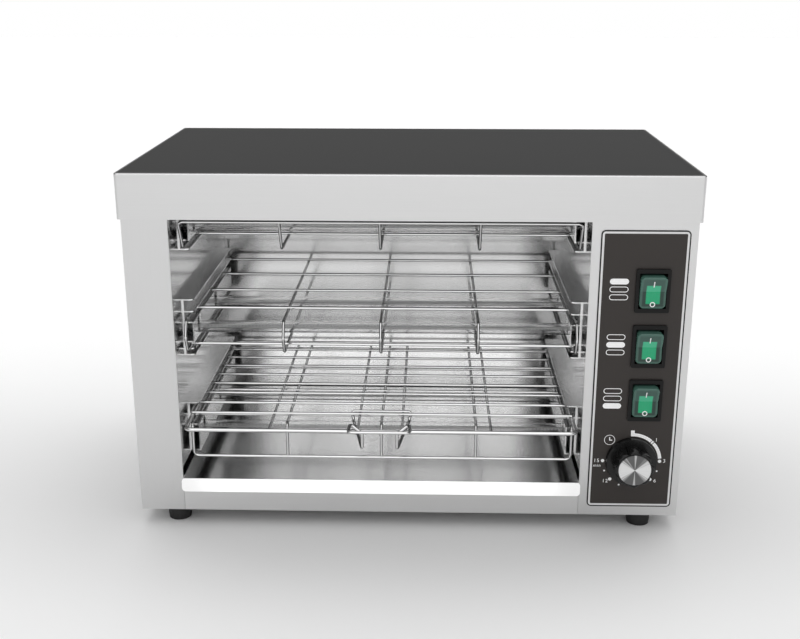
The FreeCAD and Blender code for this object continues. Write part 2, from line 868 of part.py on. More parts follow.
def build_tubes():
    """Six quartz tubes, the heating coil inside each, and the ceramic ends that hold them."""
    tube_start = wall_left - size.steel - size.ceramic_length + size.ceramic_floor
    tube_end = wall_right + size.steel + size.ceramic_length - size.ceramic_floor
    rows = ("front", "rear")
    for level in slot_bottoms:
        for row, place in zip(rows, tube_places):
            body = new_body(f"{level}_{row}_quartz_tube")
            axis = tube_axis(level)
            bore = size.tube_radius - size.tube_wall
            rings = (circle(place, axis, size.tube_radius), circle(place, axis, bore))
            pad(body, "x", tube_start, tube_end - tube_start, *rings)
            coil = new_body(f"{level}_{row}_heating_coil")
            start = tube_start + size.coil_end_gap
            length = tube_end - tube_start - 2 * size.coil_end_gap
            pad(coil, "x", start, length, circle(place, axis, size.coil_radius))
            pin_start = tube_start - size.ceramic_floor
            pin_length = tube_end - tube_start + 2 * size.ceramic_floor
            pad(coil, "x", pin_start, pin_length, circle(place, axis, size.pin_radius))
    ends = {
        "left": (wall_left - size.steel, Vector(-1, 0, 0)),
        "right": (wall_right + size.steel, Vector(1, 0, 0)),
    }
    for side, (mouth, outward) in ends.items():
        caps = []
        for level in slot_bottoms:
            for place in tube_places:
                seat = point(mouth, place, tube_axis(level))
                cap = Part.makeCylinder(float(size.ceramic_radius), float(size.ceramic_length), seat, outward)
                depth = float(size.ceramic_length - size.ceramic_floor)
                socket = float(size.tube_radius + size.ceramic_fit)
                cap = cap.cut(Part.makeCylinder(socket, depth, seat, outward))
                wire_hole = float(size.pin_radius + size.ceramic_fit)
                caps.append(cap.cut(Part.makeCylinder(wire_hole, float(size.ceramic_length), seat, outward)))
        add_solids(f"{side}_ceramic_ends", Part.makeCompound(caps))


guard_left = wall_left + size.guard_edge_inset
guard_right = wall_right - size.guard_edge_inset


def guard_crossings():
    """The places across the cavity of a guard's three inner wires."""
    return [cavity_middle + step * size.guard_wire_pitch for step in (-1, 0, 1)]


def guard_rods(first, last, count, height):
    """The long rods of a guard, from end wire to end wire, evenly spread from the first to the last."""
    rods = []
    for index in range(count):
        place = behind(first + index * (last - first) / (count - 1))
        ends = (point(guard_left, place, height), point(guard_right, place, height))
        rods.append(rod(*ends, size.guard_wire))
    return rods


def build_upper_guard():
    """The guard below the upper tubes: a flat mesh whose front edge turns up."""
    plane = below(size.upper_guard_drop)
    lip = below(size.upper_guard_front_drop)
    knee = behind(size.upper_guard_knee_behind)
    front = behind(size.upper_guard_front_behind)
    back = behind(size.guard_back_behind)
    rim = [
        point(guard_left, back, plane),
        point(guard_left, knee, plane),
        point(guard_left, front, lip),
        point(guard_right, front, lip),
        point(guard_right, knee, plane),
        point(guard_right, back, plane),
    ]
    pieces = [bent_wire(rim, size.guard_wire, size.guard_bend)]
    for across in guard_crossings():
        path = [point(across, back, plane), point(across, knee, plane), point(across, front, lip)]
        pieces.append(bent_wire(path, size.guard_wire, size.guard_bend))
    rod_height = plane + 2 * size.guard_wire - size.weld_sink
    pieces += guard_rods(size.upper_guard_rod_behind, size.upper_guard_last_behind, 3, rod_height)
    add_solids("upper_guard", weld(pieces))


def build_middle_guard():
    """The guard round the middle tubes: a basket bent like a hairpin, open at the back."""
    top_rods = below(size.middle_guard_top_drop)
    base_rods = below(size.middle_guard_base_drop)
    step = 2 * size.guard_wire - size.weld_sink
    top = top_rods - step
    base = base_rods - step
    back = behind(size.guard_back_behind)
    front = behind(size.middle_guard_front_behind)
    nose = behind(size.middle_guard_nose_behind)
    pieces = []
    for across in [guard_left, *guard_crossings(), guard_right]:
        path = [
            point(across, back, top),
            point(across, front, top),
            point(across, nose, (top + base) / 2),
            point(across, front, base),
            point(across, back, base),
        ]
        pieces.append(bent_wire(path, size.guard_wire, size.guard_bend))
    pieces += guard_rods(size.middle_top_rod_behind, size.middle_top_last_behind, 4, top_rods)
    pieces += guard_rods(size.middle_base_rod_behind, size.middle_base_last_behind, 4, base_rods)
    add_solids("middle_guard", weld(pieces))


def build_lower_guard():
    """The guard over the lower tubes: a flat mesh whose front edge turns down."""
    rod_height = below(size.lower_guard_drop)
    plane = rod_height - 2 * size.guard_wire + size.weld_sink
    foot = below(size.lower_guard_foot_drop)
    front = behind(size.lower_guard_front_behind)
    back = behind(size.guard_back_behind)
    rim = [
        point(guard_left, back, plane),
        point(guard_left, front, plane),
        point(guard_left, front, foot),
        point(guard_right, front, foot),
        point(guard_right, front, plane),
        point(guard_right, back, plane),
    ]
    pieces = [bent_wire(rim, size.guard_wire, size.guard_bend)]
    for across in guard_crossings():
        path = [point(across, back, plane), point(across, front, plane), point(across, front, foot)]
        pieces.append(bent_wire(path, size.guard_wire, size.guard_bend))
    pieces += guard_rods(size.lower_guard_rod_behind, size.lower_guard_last_behind, 4, rod_height)
    add_solids("lower_guard", weld(pieces))


def build_rack():
    """The sliding rack: a thick frame wire, cross wires on the same level and nine rods on top."""
    left = wall_left + size.rack_side_inset
    right = wall_right - size.rack_side_inset
    front = behind(size.rack_front_behind)
    first = size.rack_first_rod_behind
    last = size.rack_last_rod_behind
    tail = behind(last + size.rack_side_tail)
    rim = [(left, tail), (left, front), (right, front), (right, tail)]
    path = [point(across, place, rack_frame_height) for across, place in rim]
    pieces = [bent_wire(path, size.rack_frame_wire, size.rack_corner)]
    for offset in (size.rack_inner_cross, size.rack_outer_cross):
        for across in (cavity_middle - offset, cavity_middle + offset):
            ends = (point(across, front, rack_cross_height), point(across, behind(last), rack_cross_height))
            pieces.append(rod(*ends, size.rack_cross_wire))
    for index in range(RACK_ROD_COUNT):
        place = behind(first + index * (last - first) / (RACK_ROD_COUNT - 1))
        ends = (point(left, place, rack_rod_height), point(right, place, rack_rod_height))
        pieces.append(rod(*ends, size.rack_rod_wire))
    add_solids("wire_rack", weld(pieces))


def build_rack_handle():
    """The rack's handle: one wire that lies on the cross wires, dips under the frame and clips over it."""
    bar = behind(size.handle_bar_behind)
    bar_height = rack_cross_height + size.rack_cross_wire + size.handle_wire + size.handle_gap
    half = size.handle_width / 2
    tip = size.handle_tip_width / 2
    front = behind(size.rack_front_behind)
    limb = front - size.rack_frame_wire - size.handle_wire - size.handle_tip_gap
    neck = behind(0) - size.handle_neck_reach
    grip = behind(0) - size.handle_reach
    dip = half - size.handle_dip_inset
    hump = half - size.handle_hump_inset
    stations = [
        (0, bar, bar_height),
        (half, bar, bar_height),
        (dip, bar - size.handle_dip_run, bar_height - size.handle_dip_depth),
        (tip, limb, below(size.handle_tip_drop)),
        (tip, limb - size.handle_tip_gap, below(size.handle_limb_drop)),
        (hump, front, below(size.handle_hump_drop)),
        (half, neck, below(size.handle_neck_drop)),
        (hump, grip, below(size.handle_grip_drop)),
        (0, grip, below(size.handle_grip_drop)),
    ]
    halves = []
    for side in (-1, 1):
        path = [point(cavity_middle + side * across, place, height) for across, place, height in stations]
        halves.append(bent_wire(path, size.handle_wire, size.handle_bend))
    add_solids("rack_handle", halves[0].fuse(halves[1]).removeSplitter().Solids[0])


def build_tray():
    """The crumb tray: a shallow pan with a front lip that covers the gap below the cavity."""
    body = new_body("crumb_tray")
    floor = rail_top + size.tray_play
    left = wall_left + size.tray_side_gap
    right = wall_right - size.tray_side_gap
    start = behind(0) - size.tray_lip_front
    back = behind(size.tray_back_behind)
    pad(body, "z", floor, size.steel + size.tray_wall, rectangle(left, right, start, back))
    hollow = rectangle(left + size.steel, right - size.steel, start + size.steel, back - size.steel)
    cut(body, "z", floor + size.steel, size.tray_wall + size.steel, hollow)
    over = size.steel
    low_back = rectangle(left + size.steel, right - size.steel, back - 2 * size.steel, back + size.steel)
    rear_rise = size.tray_wall - size.tray_rear_wall
    cut(body, "z", floor + size.steel + size.tray_rear_wall, rear_rise + over, low_back)
    front_trim = rectangle(left - size.steel, right + size.steel, start - size.steel, front_face - size.seam)
    cut(body, "z", floor + size.tray_lip_height, size.tray_wall, front_trim)
    wings = size.tray_side_gap + size.tray_lip_overlap
    lip = rectangle(left - wings, right + wings, floor, floor + size.tray_lip_height)
    pad(body, "y", start, size.steel, lip)

    def is_lip_corner(edge):
        centre = middle_of(edge)
        return runs_along(edge, "y") and near(edge.Length, size.steel) and near(centre.y, start + size.steel / 2)

    round_edges(body, size.tray_lip_corner, is_lip_corner)


def build_feet():
    """Four rubber feet, each held by a screw from below."""
    for name, (across, place) in zip(foot_names, foot_places):
        body = new_body(f"{name}_foot")
        hole = size.screw_radius + size.screw_fit
        recess = size.screw_head_radius + size.screw_fit
        turn(
            body,
            [
                (hole, size.foot_recess),
                (recess, size.foot_recess),
                (recess, 0),
                (size.foot_tip_radius, 0),
                (size.foot_radius, size.foot_height / 3),
                (size.foot_radius, size.foot_height),
                (hole, size.foot_height),
            ],
        )
        bind(body, "Placement.Base.x", across)
        bind(body, "Placement.Base.y", place)
    screws = []
    for across, place in foot_places:
        seat = point(across, place, size.foot_recess)
        bolt = screw(seat, Vector(0, 0, 1), size.foot_screw_length)
        nut_seat = point(across, place, body_bottom + size.steel)
        nut = Part.makeCylinder(float(size.foot_nut_radius), float(size.foot_nut_height), nut_seat)
        screws.append(bolt.fuse(nut))
    add_solids("foot_screws", Part.makeCompound(screws))


def is_rocker_corner(edge):
    """True for the four edges that run from a rocker's face to its back."""
    centre = middle_of(edge)
    at_side = near(abs(centre.x), size.rocker_width / 2)
    return at_side and abs(centre.y) > float(size.rocker_half_base) - 1e-3 and edge.BoundBox.ZLength > 1


def build_switches():
    """Three rocker switches: a black housing and a lit rocker that tilts on its pivot pins."""
    for index, name in enumerate(("upper", "middle", "lower")):
        housing = new_body(f"{name}_switch_housing")
        half_width = size.bezel_width / 2
        half_height = size.bezel_height / 2
        flange = rectangle(-half_width, half_width, -half_height, half_height)
        pad(housing, "z", 0, size.bezel_depth, flange)
        round_edges(housing, size.bezel_corner, lambda edge: runs_along(edge, "z"))
        body_width = size.switch_body_width / 2
        body_height = size.switch_body_height / 2
        block = rectangle(-body_width, body_width, -body_height, body_height)
        pad(housing, "z", -size.switch_body_depth, size.switch_body_depth, block)
        well_width = size.rocker_width / 2 + size.rocker_gap
        well = rectangle(-well_width, well_width, -size.rocker_well_half, size.rocker_well_half)
        cut(housing, "z", size.bezel_depth - size.rocker_well_depth, size.rocker_well_depth, well)
        pin = size.rocker_width / 2 + size.rocker_gap + size.rocker_pivot_reach
        bearing = circle(0, 0, size.rocker_pivot_radius + size.running_gap)
        cut(housing, "x", -pin, 2 * pin, bearing)
        face_panel(housing, switch_middle, switch_height(index))

        rocker = new_body(f"{name}_rocker")
        half = size.rocker_width / 2
        profile = outline(
            [
                (-size.rocker_half_base, -size.rocker_back),
                (size.rocker_half_base, -size.rocker_back),
                (size.rocker_half_height, size.rocker_face),
                (0, size.rocker_crease),
                (-size.rocker_half_height, size.rocker_face),
            ]
        )
        pad(rocker, "x", -half, size.rocker_width, profile)
        round_edges(rocker, size.rocker_corner, is_rocker_corner)
        reach = half + size.rocker_gap + size.rocker_pivot_reach - size.running_gap
        pad(rocker, "x", -reach, 2 * reach, circle(0, 0, size.rocker_pivot_radius))
        face_panel(rocker, switch_middle, switch_height(index), 0, size.rocker_travel / 2)


def build_timer():
    """The clockwork timer with its bush, nut, shaft, scalloped knob and turned cap."""
    timer = new_body("timer_body")
    back_gap = size.panel_sheet + size.steel
    half = size.timer_width / 2
    tall = size.timer_tall / 2
    case = rectangle(-half, half, -tall, tall)
    pad(timer, "z", -(back_gap + size.timer_depth), size.timer_depth, case)
    bush_length = back_gap + size.nut_thickness + size.knob_gap
    pad(timer, "z", -back_gap, bush_length, circle(0, 0, size.bush_radius))
    bore = circle(0, 0, size.shaft_radius + size.running_gap)
    bore_bottom = -(back_gap + size.shaft_in_timer)
    cut(timer, "z", bore_bottom, size.shaft_in_timer + bush_length + size.steel, bore)
    face_panel(timer, timer_middle, timer_height)

    nut = new_body("timer_nut")
    inner = size.bush_radius + size.screw_fit
    hexagon = []
    for corner in range(6):
        turned = math.radians(60 * corner)
        hexagon.append((size.nut_radius * math.cos(turned), size.nut_radius * math.sin(turned)))
    pad(nut, "z", 0, size.nut_thickness, outline(hexagon), circle(0, 0, inner))
    face_panel(nut, timer_middle, timer_height)

    shaft = new_body("timer_shaft")
    shaft_top = size.knob_gap + size.knob_height - size.skirt_thickness
    shaft_start = bore_bottom + size.rack_play
    pad(shaft, "z", shaft_start, shaft_top - shaft_start, circle(0, 0, size.shaft_radius))
    face_panel(shaft, timer_middle, timer_height)

    knob = new_body("timer_knob")
    low = size.knob_gap
    high = size.knob_gap + size.knob_height
    shoulder = low + size.skirt_thickness
    turn(
        knob,
        [
            (0, low),
            (size.skirt_radius, low),
            (size.skirt_radius - size.skirt_draft, shoulder),
            (0, shoulder),
        ],
    )
    pad(knob, "z", shoulder, high - shoulder, lobes(LOBE_COUNT, size.lobe_radius, size.valley_radius))
    soften_edges(knob, size.grip_chamfer, lambda edge: near(edge.BoundBox.ZMin, high))
    seat = circle(0, 0, size.cap_radius + size.ceramic_fit)
    cut(knob, "z", high - size.cap_seat, size.cap_seat + size.steel, seat)
    cut(knob, "z", low - size.steel, size.steel + size.knob_recess_depth, circle(0, 0, size.knob_recess_radius))
    bore_radius = size.shaft_radius + size.running_gap
    cut(knob, "z", low, shaft_top - low, circle(0, 0, bore_radius))
    face_panel(knob, timer_middle, timer_height)

    cap = new_body("knob_cap")
    pad(cap, "z", high - size.cap_seat, size.cap_thickness, circle(0, 0, size.cap_radius))
    face_panel(cap, timer_middle, timer_height)


def build_rear_fittings():
    """The cord gland, the terminal block behind it and the screws of the rear and the cover."""
    gland = new_body("cord_gland")
    outside = rear_face - size.steel
    turn(
        gland,
        [
            (size.gland_bore_radius, -size.gland_depth),
            (size.gland_neck_radius, -size.gland_depth),
            (size.gland_neck_radius, 0),
            (size.gland_flange_radius, 0),
            (size.gland_flange_radius - size.gland_draft, size.gland_reach),
            (size.gland_bore_radius, size.gland_reach),
        ],
    )
    gland.Placement = Placement(Vector(0, 0, 0), Rotation(Vector(1, 0, 0), -90))
    bind(gland, "Placement.Base.x", gland_across)
    bind(gland, "Placement.Base.y", outside)
    bind(gland, "Placement.Base.z", gland_up)

    block = new_body("terminal_block")
    half = size.terminal_width / 2
    floor = body_bottom + size.steel
    back = rear_face - 2 * size.steel - size.gland_depth - size.terminal_depth
    sides = (gland_across - half, gland_across + half)
    pad(block, "z", floor, size.terminal_height, rectangle(*sides, back - size.terminal_depth, back))

    inward = Vector(0, -1, 0)
    rear = []
    for side in (-1, 1):
        for height in rear_screw_heights:
            rear.append(screw(point(side * rear_screw_across, rear_face, height), inward, size.screw_length))
    add_solids("rear_screws", Part.makeCompound(rear))
    cover = []
    for across in cover_screw_places:
        seat = point(across, behind(size.cover_depth), cover_screw_height)
        cover.append(screw(seat, inward, size.screw_length))
    add_solids("cover_screws", Part.makeCompound(cover))


rear_screw_across = body_half - size.rear_flange / 2
rear_screw_heights = [
    body_bottom + size.rear_screw_inset,
    (body_bottom + body_top) / 2,
    below(size.cover_apron + size.rear_screw_inset),
]
cover_screw_height = below(size.cover_apron - size.cover_screw_inset)
cover_screw_places = [-(size.cover_width / 4), size.cover_width / 4]
gland_across = body_half - size.gland_left
gland_up = size.gland_height
foot_across = size.cover_width / 2 - size.foot_inset - size.body_inset
foot_names = ("front_left", "front_right", "rear_left", "rear_right")
foot_places = [
    (side * foot_across, behind(place))
    for place in (size.foot_front_behind, size.foot_rear_behind)
    for side in (-1, 1)
]

build_cover()
build_side_panel("left")
build_control_column()
build_control_plate()
build_rear_panel()
build_base()
build_cavity()
build_rails()
build_tubes()
build_upper_guard()
build_middle_guard()
build_lower_guard()
build_rack()
build_rack_handle()
build_tray()
build_feet()
build_switches()
build_timer()
build_rear_fittings()
doc.recompute()

for item in doc.Objects:
    if "Invalid" in item.State or "Error" in item.State:
        raise RuntimeError(f"{item.Name} did not build")
for base, feature in CUTS:
    if not feature.Shape.Volume < base.Shape.Volume - 1e-3:
        raise RuntimeError(f"{feature.Name} cuts nothing")
for part in SUBPARTS:
    if part.Shape.isNull() or not part.Shape.isValid():
        raise RuntimeError(f"{part.Label} is not a valid shape")
for part in SUBPARTS:
    part.Shape.exportStep(f"parts/{part.Label}.step")
print(len(SUBPARTS), "sub-parts")
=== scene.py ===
# %% [markdown]
# A two-tier quartz toaster, dressed in Blender over its engineering model. The sheet steel, the wire
# guards, the knob and the switch housings come from the packed model as they are. This script adds the
# finishes, the printed dial, the rocker lenses, the heating coils, the camera and the studio.

# %% Load the packed model
import itertools
import math
import bpy
import numpy as np
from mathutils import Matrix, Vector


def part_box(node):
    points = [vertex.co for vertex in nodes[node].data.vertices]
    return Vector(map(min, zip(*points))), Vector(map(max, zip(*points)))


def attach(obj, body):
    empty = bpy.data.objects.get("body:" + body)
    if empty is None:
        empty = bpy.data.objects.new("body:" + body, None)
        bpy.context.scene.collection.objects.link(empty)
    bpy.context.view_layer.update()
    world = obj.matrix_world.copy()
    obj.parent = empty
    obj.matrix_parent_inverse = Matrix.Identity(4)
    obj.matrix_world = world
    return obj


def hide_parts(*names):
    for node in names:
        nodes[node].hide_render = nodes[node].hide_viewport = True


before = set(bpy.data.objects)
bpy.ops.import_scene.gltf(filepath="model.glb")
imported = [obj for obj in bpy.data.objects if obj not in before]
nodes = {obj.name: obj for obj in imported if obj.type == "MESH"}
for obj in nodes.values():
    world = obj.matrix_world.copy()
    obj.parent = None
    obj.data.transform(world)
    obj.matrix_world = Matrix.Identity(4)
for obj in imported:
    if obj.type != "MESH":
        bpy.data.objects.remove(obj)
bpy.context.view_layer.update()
MM = 0.001
LEVELS = ("upper", "middle", "lower")
ROWS = ("front", "rear")
SIDES = ("left", "right")

# %% [markdown]
# Places could be typed in as numbers, but then they would be wrong as soon as a size changes. Here they are
# read from the model's own boxes, so the looks follow the sizes. The cover's front face and top are the two
# references that the camera was fitted to.

# %% Reference places
FRONT_FACE_INSET = 0.21 * MM
cover_low, cover_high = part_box("top_cover")
plate_low, plate_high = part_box("control_plate")
knob_low, knob_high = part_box("timer_knob")
tray_low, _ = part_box("crumb_tray")
cover_front = cover_low[1] + FRONT_FACE_INSET
top = cover_high[2]
plate_face = plate_low[1]
back_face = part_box("cavity_back")[0][1]
left_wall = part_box("left_cavity_wall")[1][0]
right_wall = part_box("right_cavity_wall")[0][0]
print("cover front", round(cover_front, 4), "top", round(top, 4))
print("cavity from", round(left_wall, 4), "to", round(right_wall, 4))

# %% [markdown]
# The camera stands about 0.83 m in front of the cover and 0.15 m above it, a touch right of the middle. It
# looks down by 17 degrees and a little to the left. A 50 mm lens on a 36 mm sensor gives the photograph's
# perspective. The place and the two angles were fitted to the cover's edges, which is surer than moving a
# camera by eye.

# %% Camera
CAMERA_RIGHT = 16.7 * MM
CAMERA_BACK = 833.6 * MM
CAMERA_RISE = 147.0 * MM
CAMERA_YAW = math.radians(1.571)
CAMERA_PITCH = math.radians(17.438)
CAMERA_LENS = 50
CAMERA_SENSOR = 36
CAMERA_REACH = 50
camera_data = bpy.data.cameras.new("studio_camera")
camera_data.lens = CAMERA_LENS
camera_data.sensor_width = CAMERA_SENSOR
camera_data.sensor_fit = "HORIZONTAL"
camera_data.clip_end = CAMERA_REACH
camera = bpy.data.objects.new("studio_camera", camera_data)
camera.location = (CAMERA_RIGHT, cover_front - CAMERA_BACK, top + CAMERA_RISE)
camera.rotation_euler = (math.radians(90) - CAMERA_PITCH, 0, CAMERA_YAW)
bpy.context.scene.collection.objects.link(camera)
bpy.context.scene.camera = camera
bpy.context.scene.view_settings.view_transform = "Standard"
print("camera at", [round(v, 4) for v in camera.location])

# %% [markdown]
# Finishes and the sky are node graphs. Wiring every Math node by hand would take a page for each, so
# `Signal` wraps a socket and turns Python arithmetic into Math nodes. A formula for a finish then reads as
# a formula.

# %% Signals
class Signal:
    """A node socket that takes part in arithmetic."""

    def __init__(self, graph, socket):
        self.graph = graph
        self.socket = socket

    def math(self, operation, *values):
        """The result of a Math node on this signal and more values."""
        return self.graph.node("ShaderNodeMath", {"operation": operation}, self, *values)

    def __add__(self, other):
        return self.math("ADD", other)

    def __sub__(self, other):
        return self.math("SUBTRACT", other)

    def __rsub__(self, other):
        return self.graph.node("ShaderNodeMath", {"operation": "SUBTRACT"}, other, self)

    def __mul__(self, other):
        return self.math("MULTIPLY", other)

    def __pow__(self, other):
        return self.math("POWER", other)

    def __abs__(self):
        return self.math("ABSOLUTE")

    __radd__ = __add__
    __rmul__ = __mul__

    def above(self, edge, soft):
        """0 below edge and 1 above it, with a smooth step of this width."""
        limits = {"From Min": edge - soft / 2, "From Max": edge + soft / 2}
        return self.graph.node("ShaderNodeMapRange", {"interpolation_type": "SMOOTHSTEP"}, self, **limits)

    def below(self, edge, soft):
        """1 below edge and 0 above it, with a smooth step of this width."""
        return 1.0 - self.above(edge, soft)


print("a signal also has", ", ".join(name for name in vars(Signal) if not name.startswith("_")))

# %% [markdown]
# `Graph` owns a node tree. Its `node` method makes any node from its type, its settings and its inputs. All
# other nodes come from it, so that setting up and linking a node is written only once.

# %% Graphs
class Graph:
    """A node tree and the ways to add to it."""

    def __init__(self, tree):
        self.tree = tree

    def node(self, kind, options, *inputs, out=0, **named):
        """A node of this kind, its options set first, then its inputs by place or by name."""
        made = self.tree.nodes.new(kind)
        for option, value in options.items():
            setattr(made, option, value)
        for place, value in list(enumerate(inputs)) + list(named.items()):
            self.join(value, made.inputs[place])
        return Signal(self, made.outputs[out])

    def join(self, value, socket):
        """Link a signal to a socket, or set the socket to a plain value."""
        if isinstance(value, Signal):
            self.tree.links.new(value.socket, socket)
        else:
            socket.default_value = value

    def split(self, vector):
        """The three parts of a vector signal."""
        parts = self.node("ShaderNodeSeparateXYZ", {}, vector)
        return [Signal(self, output) for output in parts.socket.node.outputs]


print("a graph has", ", ".join(name for name in vars(Graph) if not name.startswith("_")))

# %% [markdown]
# `Finish` is the graph of one material. Its patterns read the object coordinates, which are metres from the
# toaster's origin for every piece, so a pattern has the same scale on all of them. Colours are given as the
# grey levels that a screen shows, because these can be compared with a photograph, and `grey` turns them
# into light. A Mix node has sockets of one name for numbers, vectors and colours, so its colour sockets go
# by place.

# %% Finishes
MIX_LOW, MIX_HIGH, MIX_RESULT = 6, 7, 2


class Finish(Graph):
    """One material and the nodes that make it."""

    def __init__(self, name, colour, roughness, metallic=0.0, **settings):
        self.material = bpy.data.materials.new(name)
        self.material.use_nodes = True
        super().__init__(self.material.node_tree)
        self.shader = self.tree.nodes["Principled BSDF"]
        self.set("Base Color", (*colour, 1.0))
        self.set("Roughness", roughness)
        self.set("Metallic", metallic)
        for socket, value in settings.items():
            self.set(socket.replace("_", " "), value)

    def set(self, socket, value):
        """Give a value or a signal to a socket of the material's shader."""
        self.join(value, self.shader.inputs[socket])

    def place(self):
        """The object coordinates, in metres."""
        return self.node("ShaderNodeTexCoord", {}, out="Object")

    def axes(self):
        """The object coordinates as three separate signals: across, back and up."""
        return self.split(self.place())

    def noise(self, scales, detail=3.0):
        """Noise between 0 and 1, stretched by the three scales."""
        stretched = self.node("ShaderNodeMapping", {}, self.place(), Scale=scales)
        return self.node("ShaderNodeTexNoise", {}, Vector=stretched, Scale=1.0, Detail=detail, out="Fac")

    def blend(self, mask, low, high):
        """A colour between two: low where the mask is 0, high where it is 1."""
        mixed = self.node("ShaderNodeMix", {"data_type": "RGBA"}, mask, out=MIX_RESULT)
        for place, value in ((MIX_LOW, low), (MIX_HIGH, high)):
            colour = (*value, 1.0) if isinstance(value, tuple) else value
            self.join(colour, mixed.socket.node.inputs[place])
        return mixed

    def bump(self, height, strength, distance):
        """Fine relief that follows a signal."""
        relief = {"Strength": strength, "Distance": distance, "Height": height}
        self.set("Normal", self.node("ShaderNodeBump", {}, out="Normal", **relief))


def grey(value):
    """A neutral colour from an 8-bit display level, as linear light by the screen's own curve."""
    level = value / 255
    linear = level / 12.92 if level <= 0.04045 else ((level + 0.055) / 1.055) ** 2.4
    return (linear, linear, linear)


BLACK = (0.0, 0.0, 0.0)
WHITE = (1.0, 1.0, 1.0)
print("display grey 208 is linear", round(grey(208)[0], 3))

# %% [markdown]
# Brushed stainless sheet has fine scratches along one direction. They could be carved as relief, but at
# this distance the eye only sees their streaks of tone and gloss. Long thin noise gives both, at no cost in
# faces.

# %% Brushed steel
ALONG_X = (20.0, 1500.0, 1500.0)
ALONG_Y = (1500.0, 20.0, 1500.0)
ALONG_Z = (1500.0, 1500.0, 20.0)
GRAIN_TONE = 0.97
CAVITY_LEVEL, BACK_LEVEL, TRAY_LEVEL = 222, 238, 236


def brushed_steel(name, level, roughness, scales, streak=0.04):
    """Stainless sheet with a grain of the given scales (small scale along the brushing)."""
    finish = Finish(name, grey(level), roughness, 1.0)
    grain = finish.noise(scales)
    finish.set("Roughness", grain * streak + (roughness - streak / 2))
    darker = tuple(channel * GRAIN_TONE for channel in grey(level))
    finish.set("Base Color", finish.blend(grain, darker, grey(level)))
    return finish


column_steel = brushed_steel("column_steel", 214, 0.34, ALONG_Z)
side_steel = brushed_steel("side_steel", 212, 0.34, ALONG_Z)
rail_steel = brushed_steel("front_rail_steel", 220, 0.34, ALONG_X)
cavity_steel = brushed_steel("cavity_steel", CAVITY_LEVEL, 0.14, ALONG_Z, 0.02)
# Painted shade: the roof is the same steel at a much lower level, for the dim top of the cavity that the
# wires reflect.
shaded_roof_steel = brushed_steel("cavity_roof_steel", 150, 0.3, ALONG_X, 0.02)
slide_steel = brushed_steel("rail_steel", 238, 0.2, ALONG_Y, 0.03)
print("brushed steels: column, side, front rail, cavity, roof and slides")

# %% [markdown]
# The cavity's back and the crumb tray are polished sheet, and the screws are zinc-plated. At this distance
# none of them shows a grain, so a plain colour and gloss are enough.

# %% Plain steels
back_steel = Finish("cavity_back_steel", grey(BACK_LEVEL), 0.17, 1.0)
tray_steel = Finish("tray_steel", grey(TRAY_LEVEL), 0.2, 1.0)
zinc_steel = Finish("zinc_steel", grey(190), 0.35, 1.0)
print("plain steels: back, tray and screws")

# %% [markdown]
# Three places of the sheets differ from the rest, and each is painted light. The crumb tray's front lip
# catches the light and burns out to white: a painted highlight, given as glow. The side walls carry painted
# shade in the corner where they meet the cavity's back. The back and the tray darken towards their sides, a
# painted reflection of the side walls. Separate pieces for these would need their own edges, so each is a
# soft mask along one axis.

# %% Lip highlight, corner shade and side reflections
LIP_DEPTH, LIP_SOFT, LIP_LIGHT = 1.6 * MM, 0.4 * MM, (0.62, 0.62, 0.62)
CORNER_SHADE_WIDTH, CORNER_SHADE_SOFT, CORNER_SHADE_LEVEL = 0.7 * MM, 0.3 * MM, 90
SIDE_REFLECTION_SOFT = 34 * MM
cavity_middle = (left_wall + right_wall) / 2
cavity_half = (right_wall - left_wall) / 2


def paint_side_reflection(finish, level, reach, side_reflection_level):
    """Paint a darker reflection of the side walls into a sheet: blend from its level to a darker one, a reach
    in front of both side walls.
    """
    across, _, _ = finish.axes()
    side_reflection_mask = abs(across - cavity_middle).above(cavity_half - reach, SIDE_REFLECTION_SOFT)
    finish.set("Base Color", finish.blend(side_reflection_mask, grey(level), grey(side_reflection_level)))


# Painted highlight: the tray's front lip glows white.
_, back, _ = tray_steel.axes()
lip_mask = back.below(tray_low[1] + LIP_DEPTH, LIP_SOFT)
tray_steel.set("Emission Color", tray_steel.blend(lip_mask, BLACK, LIP_LIGHT))
tray_steel.set("Emission Strength", 1.0)
# Painted shade: a dark line in the corner where the side walls meet the back.
_, back, _ = cavity_steel.axes()
corner_shade_mask = back.above(back_face - CORNER_SHADE_WIDTH, CORNER_SHADE_SOFT)
cavity_steel.set("Base Color", cavity_steel.blend(corner_shade_mask, grey(CAVITY_LEVEL), grey(CORNER_SHADE_LEVEL)))
# Painted reflection: the back and the tray darken towards the side walls.
paint_side_reflection(back_steel, BACK_LEVEL, 26 * MM, 165)
paint_side_reflection(tray_steel, TRAY_LEVEL, 20 * MM, 175)
print("lip in front of y", round(tray_low[1] + LIP_DEPTH, 4))

# %% [markdown]
# The cover's top looks dark and satin, with a thin bright line where the sheet bends down. The top is the
# same steel, and its dark grey is a painted reflection of a dark room above. Two materials would need the
# model's faces sorted, and its mesh is left alone. A mask from the object coordinates is 1 inside that line
# and on the top face only, and blends the painted dark reflection in.

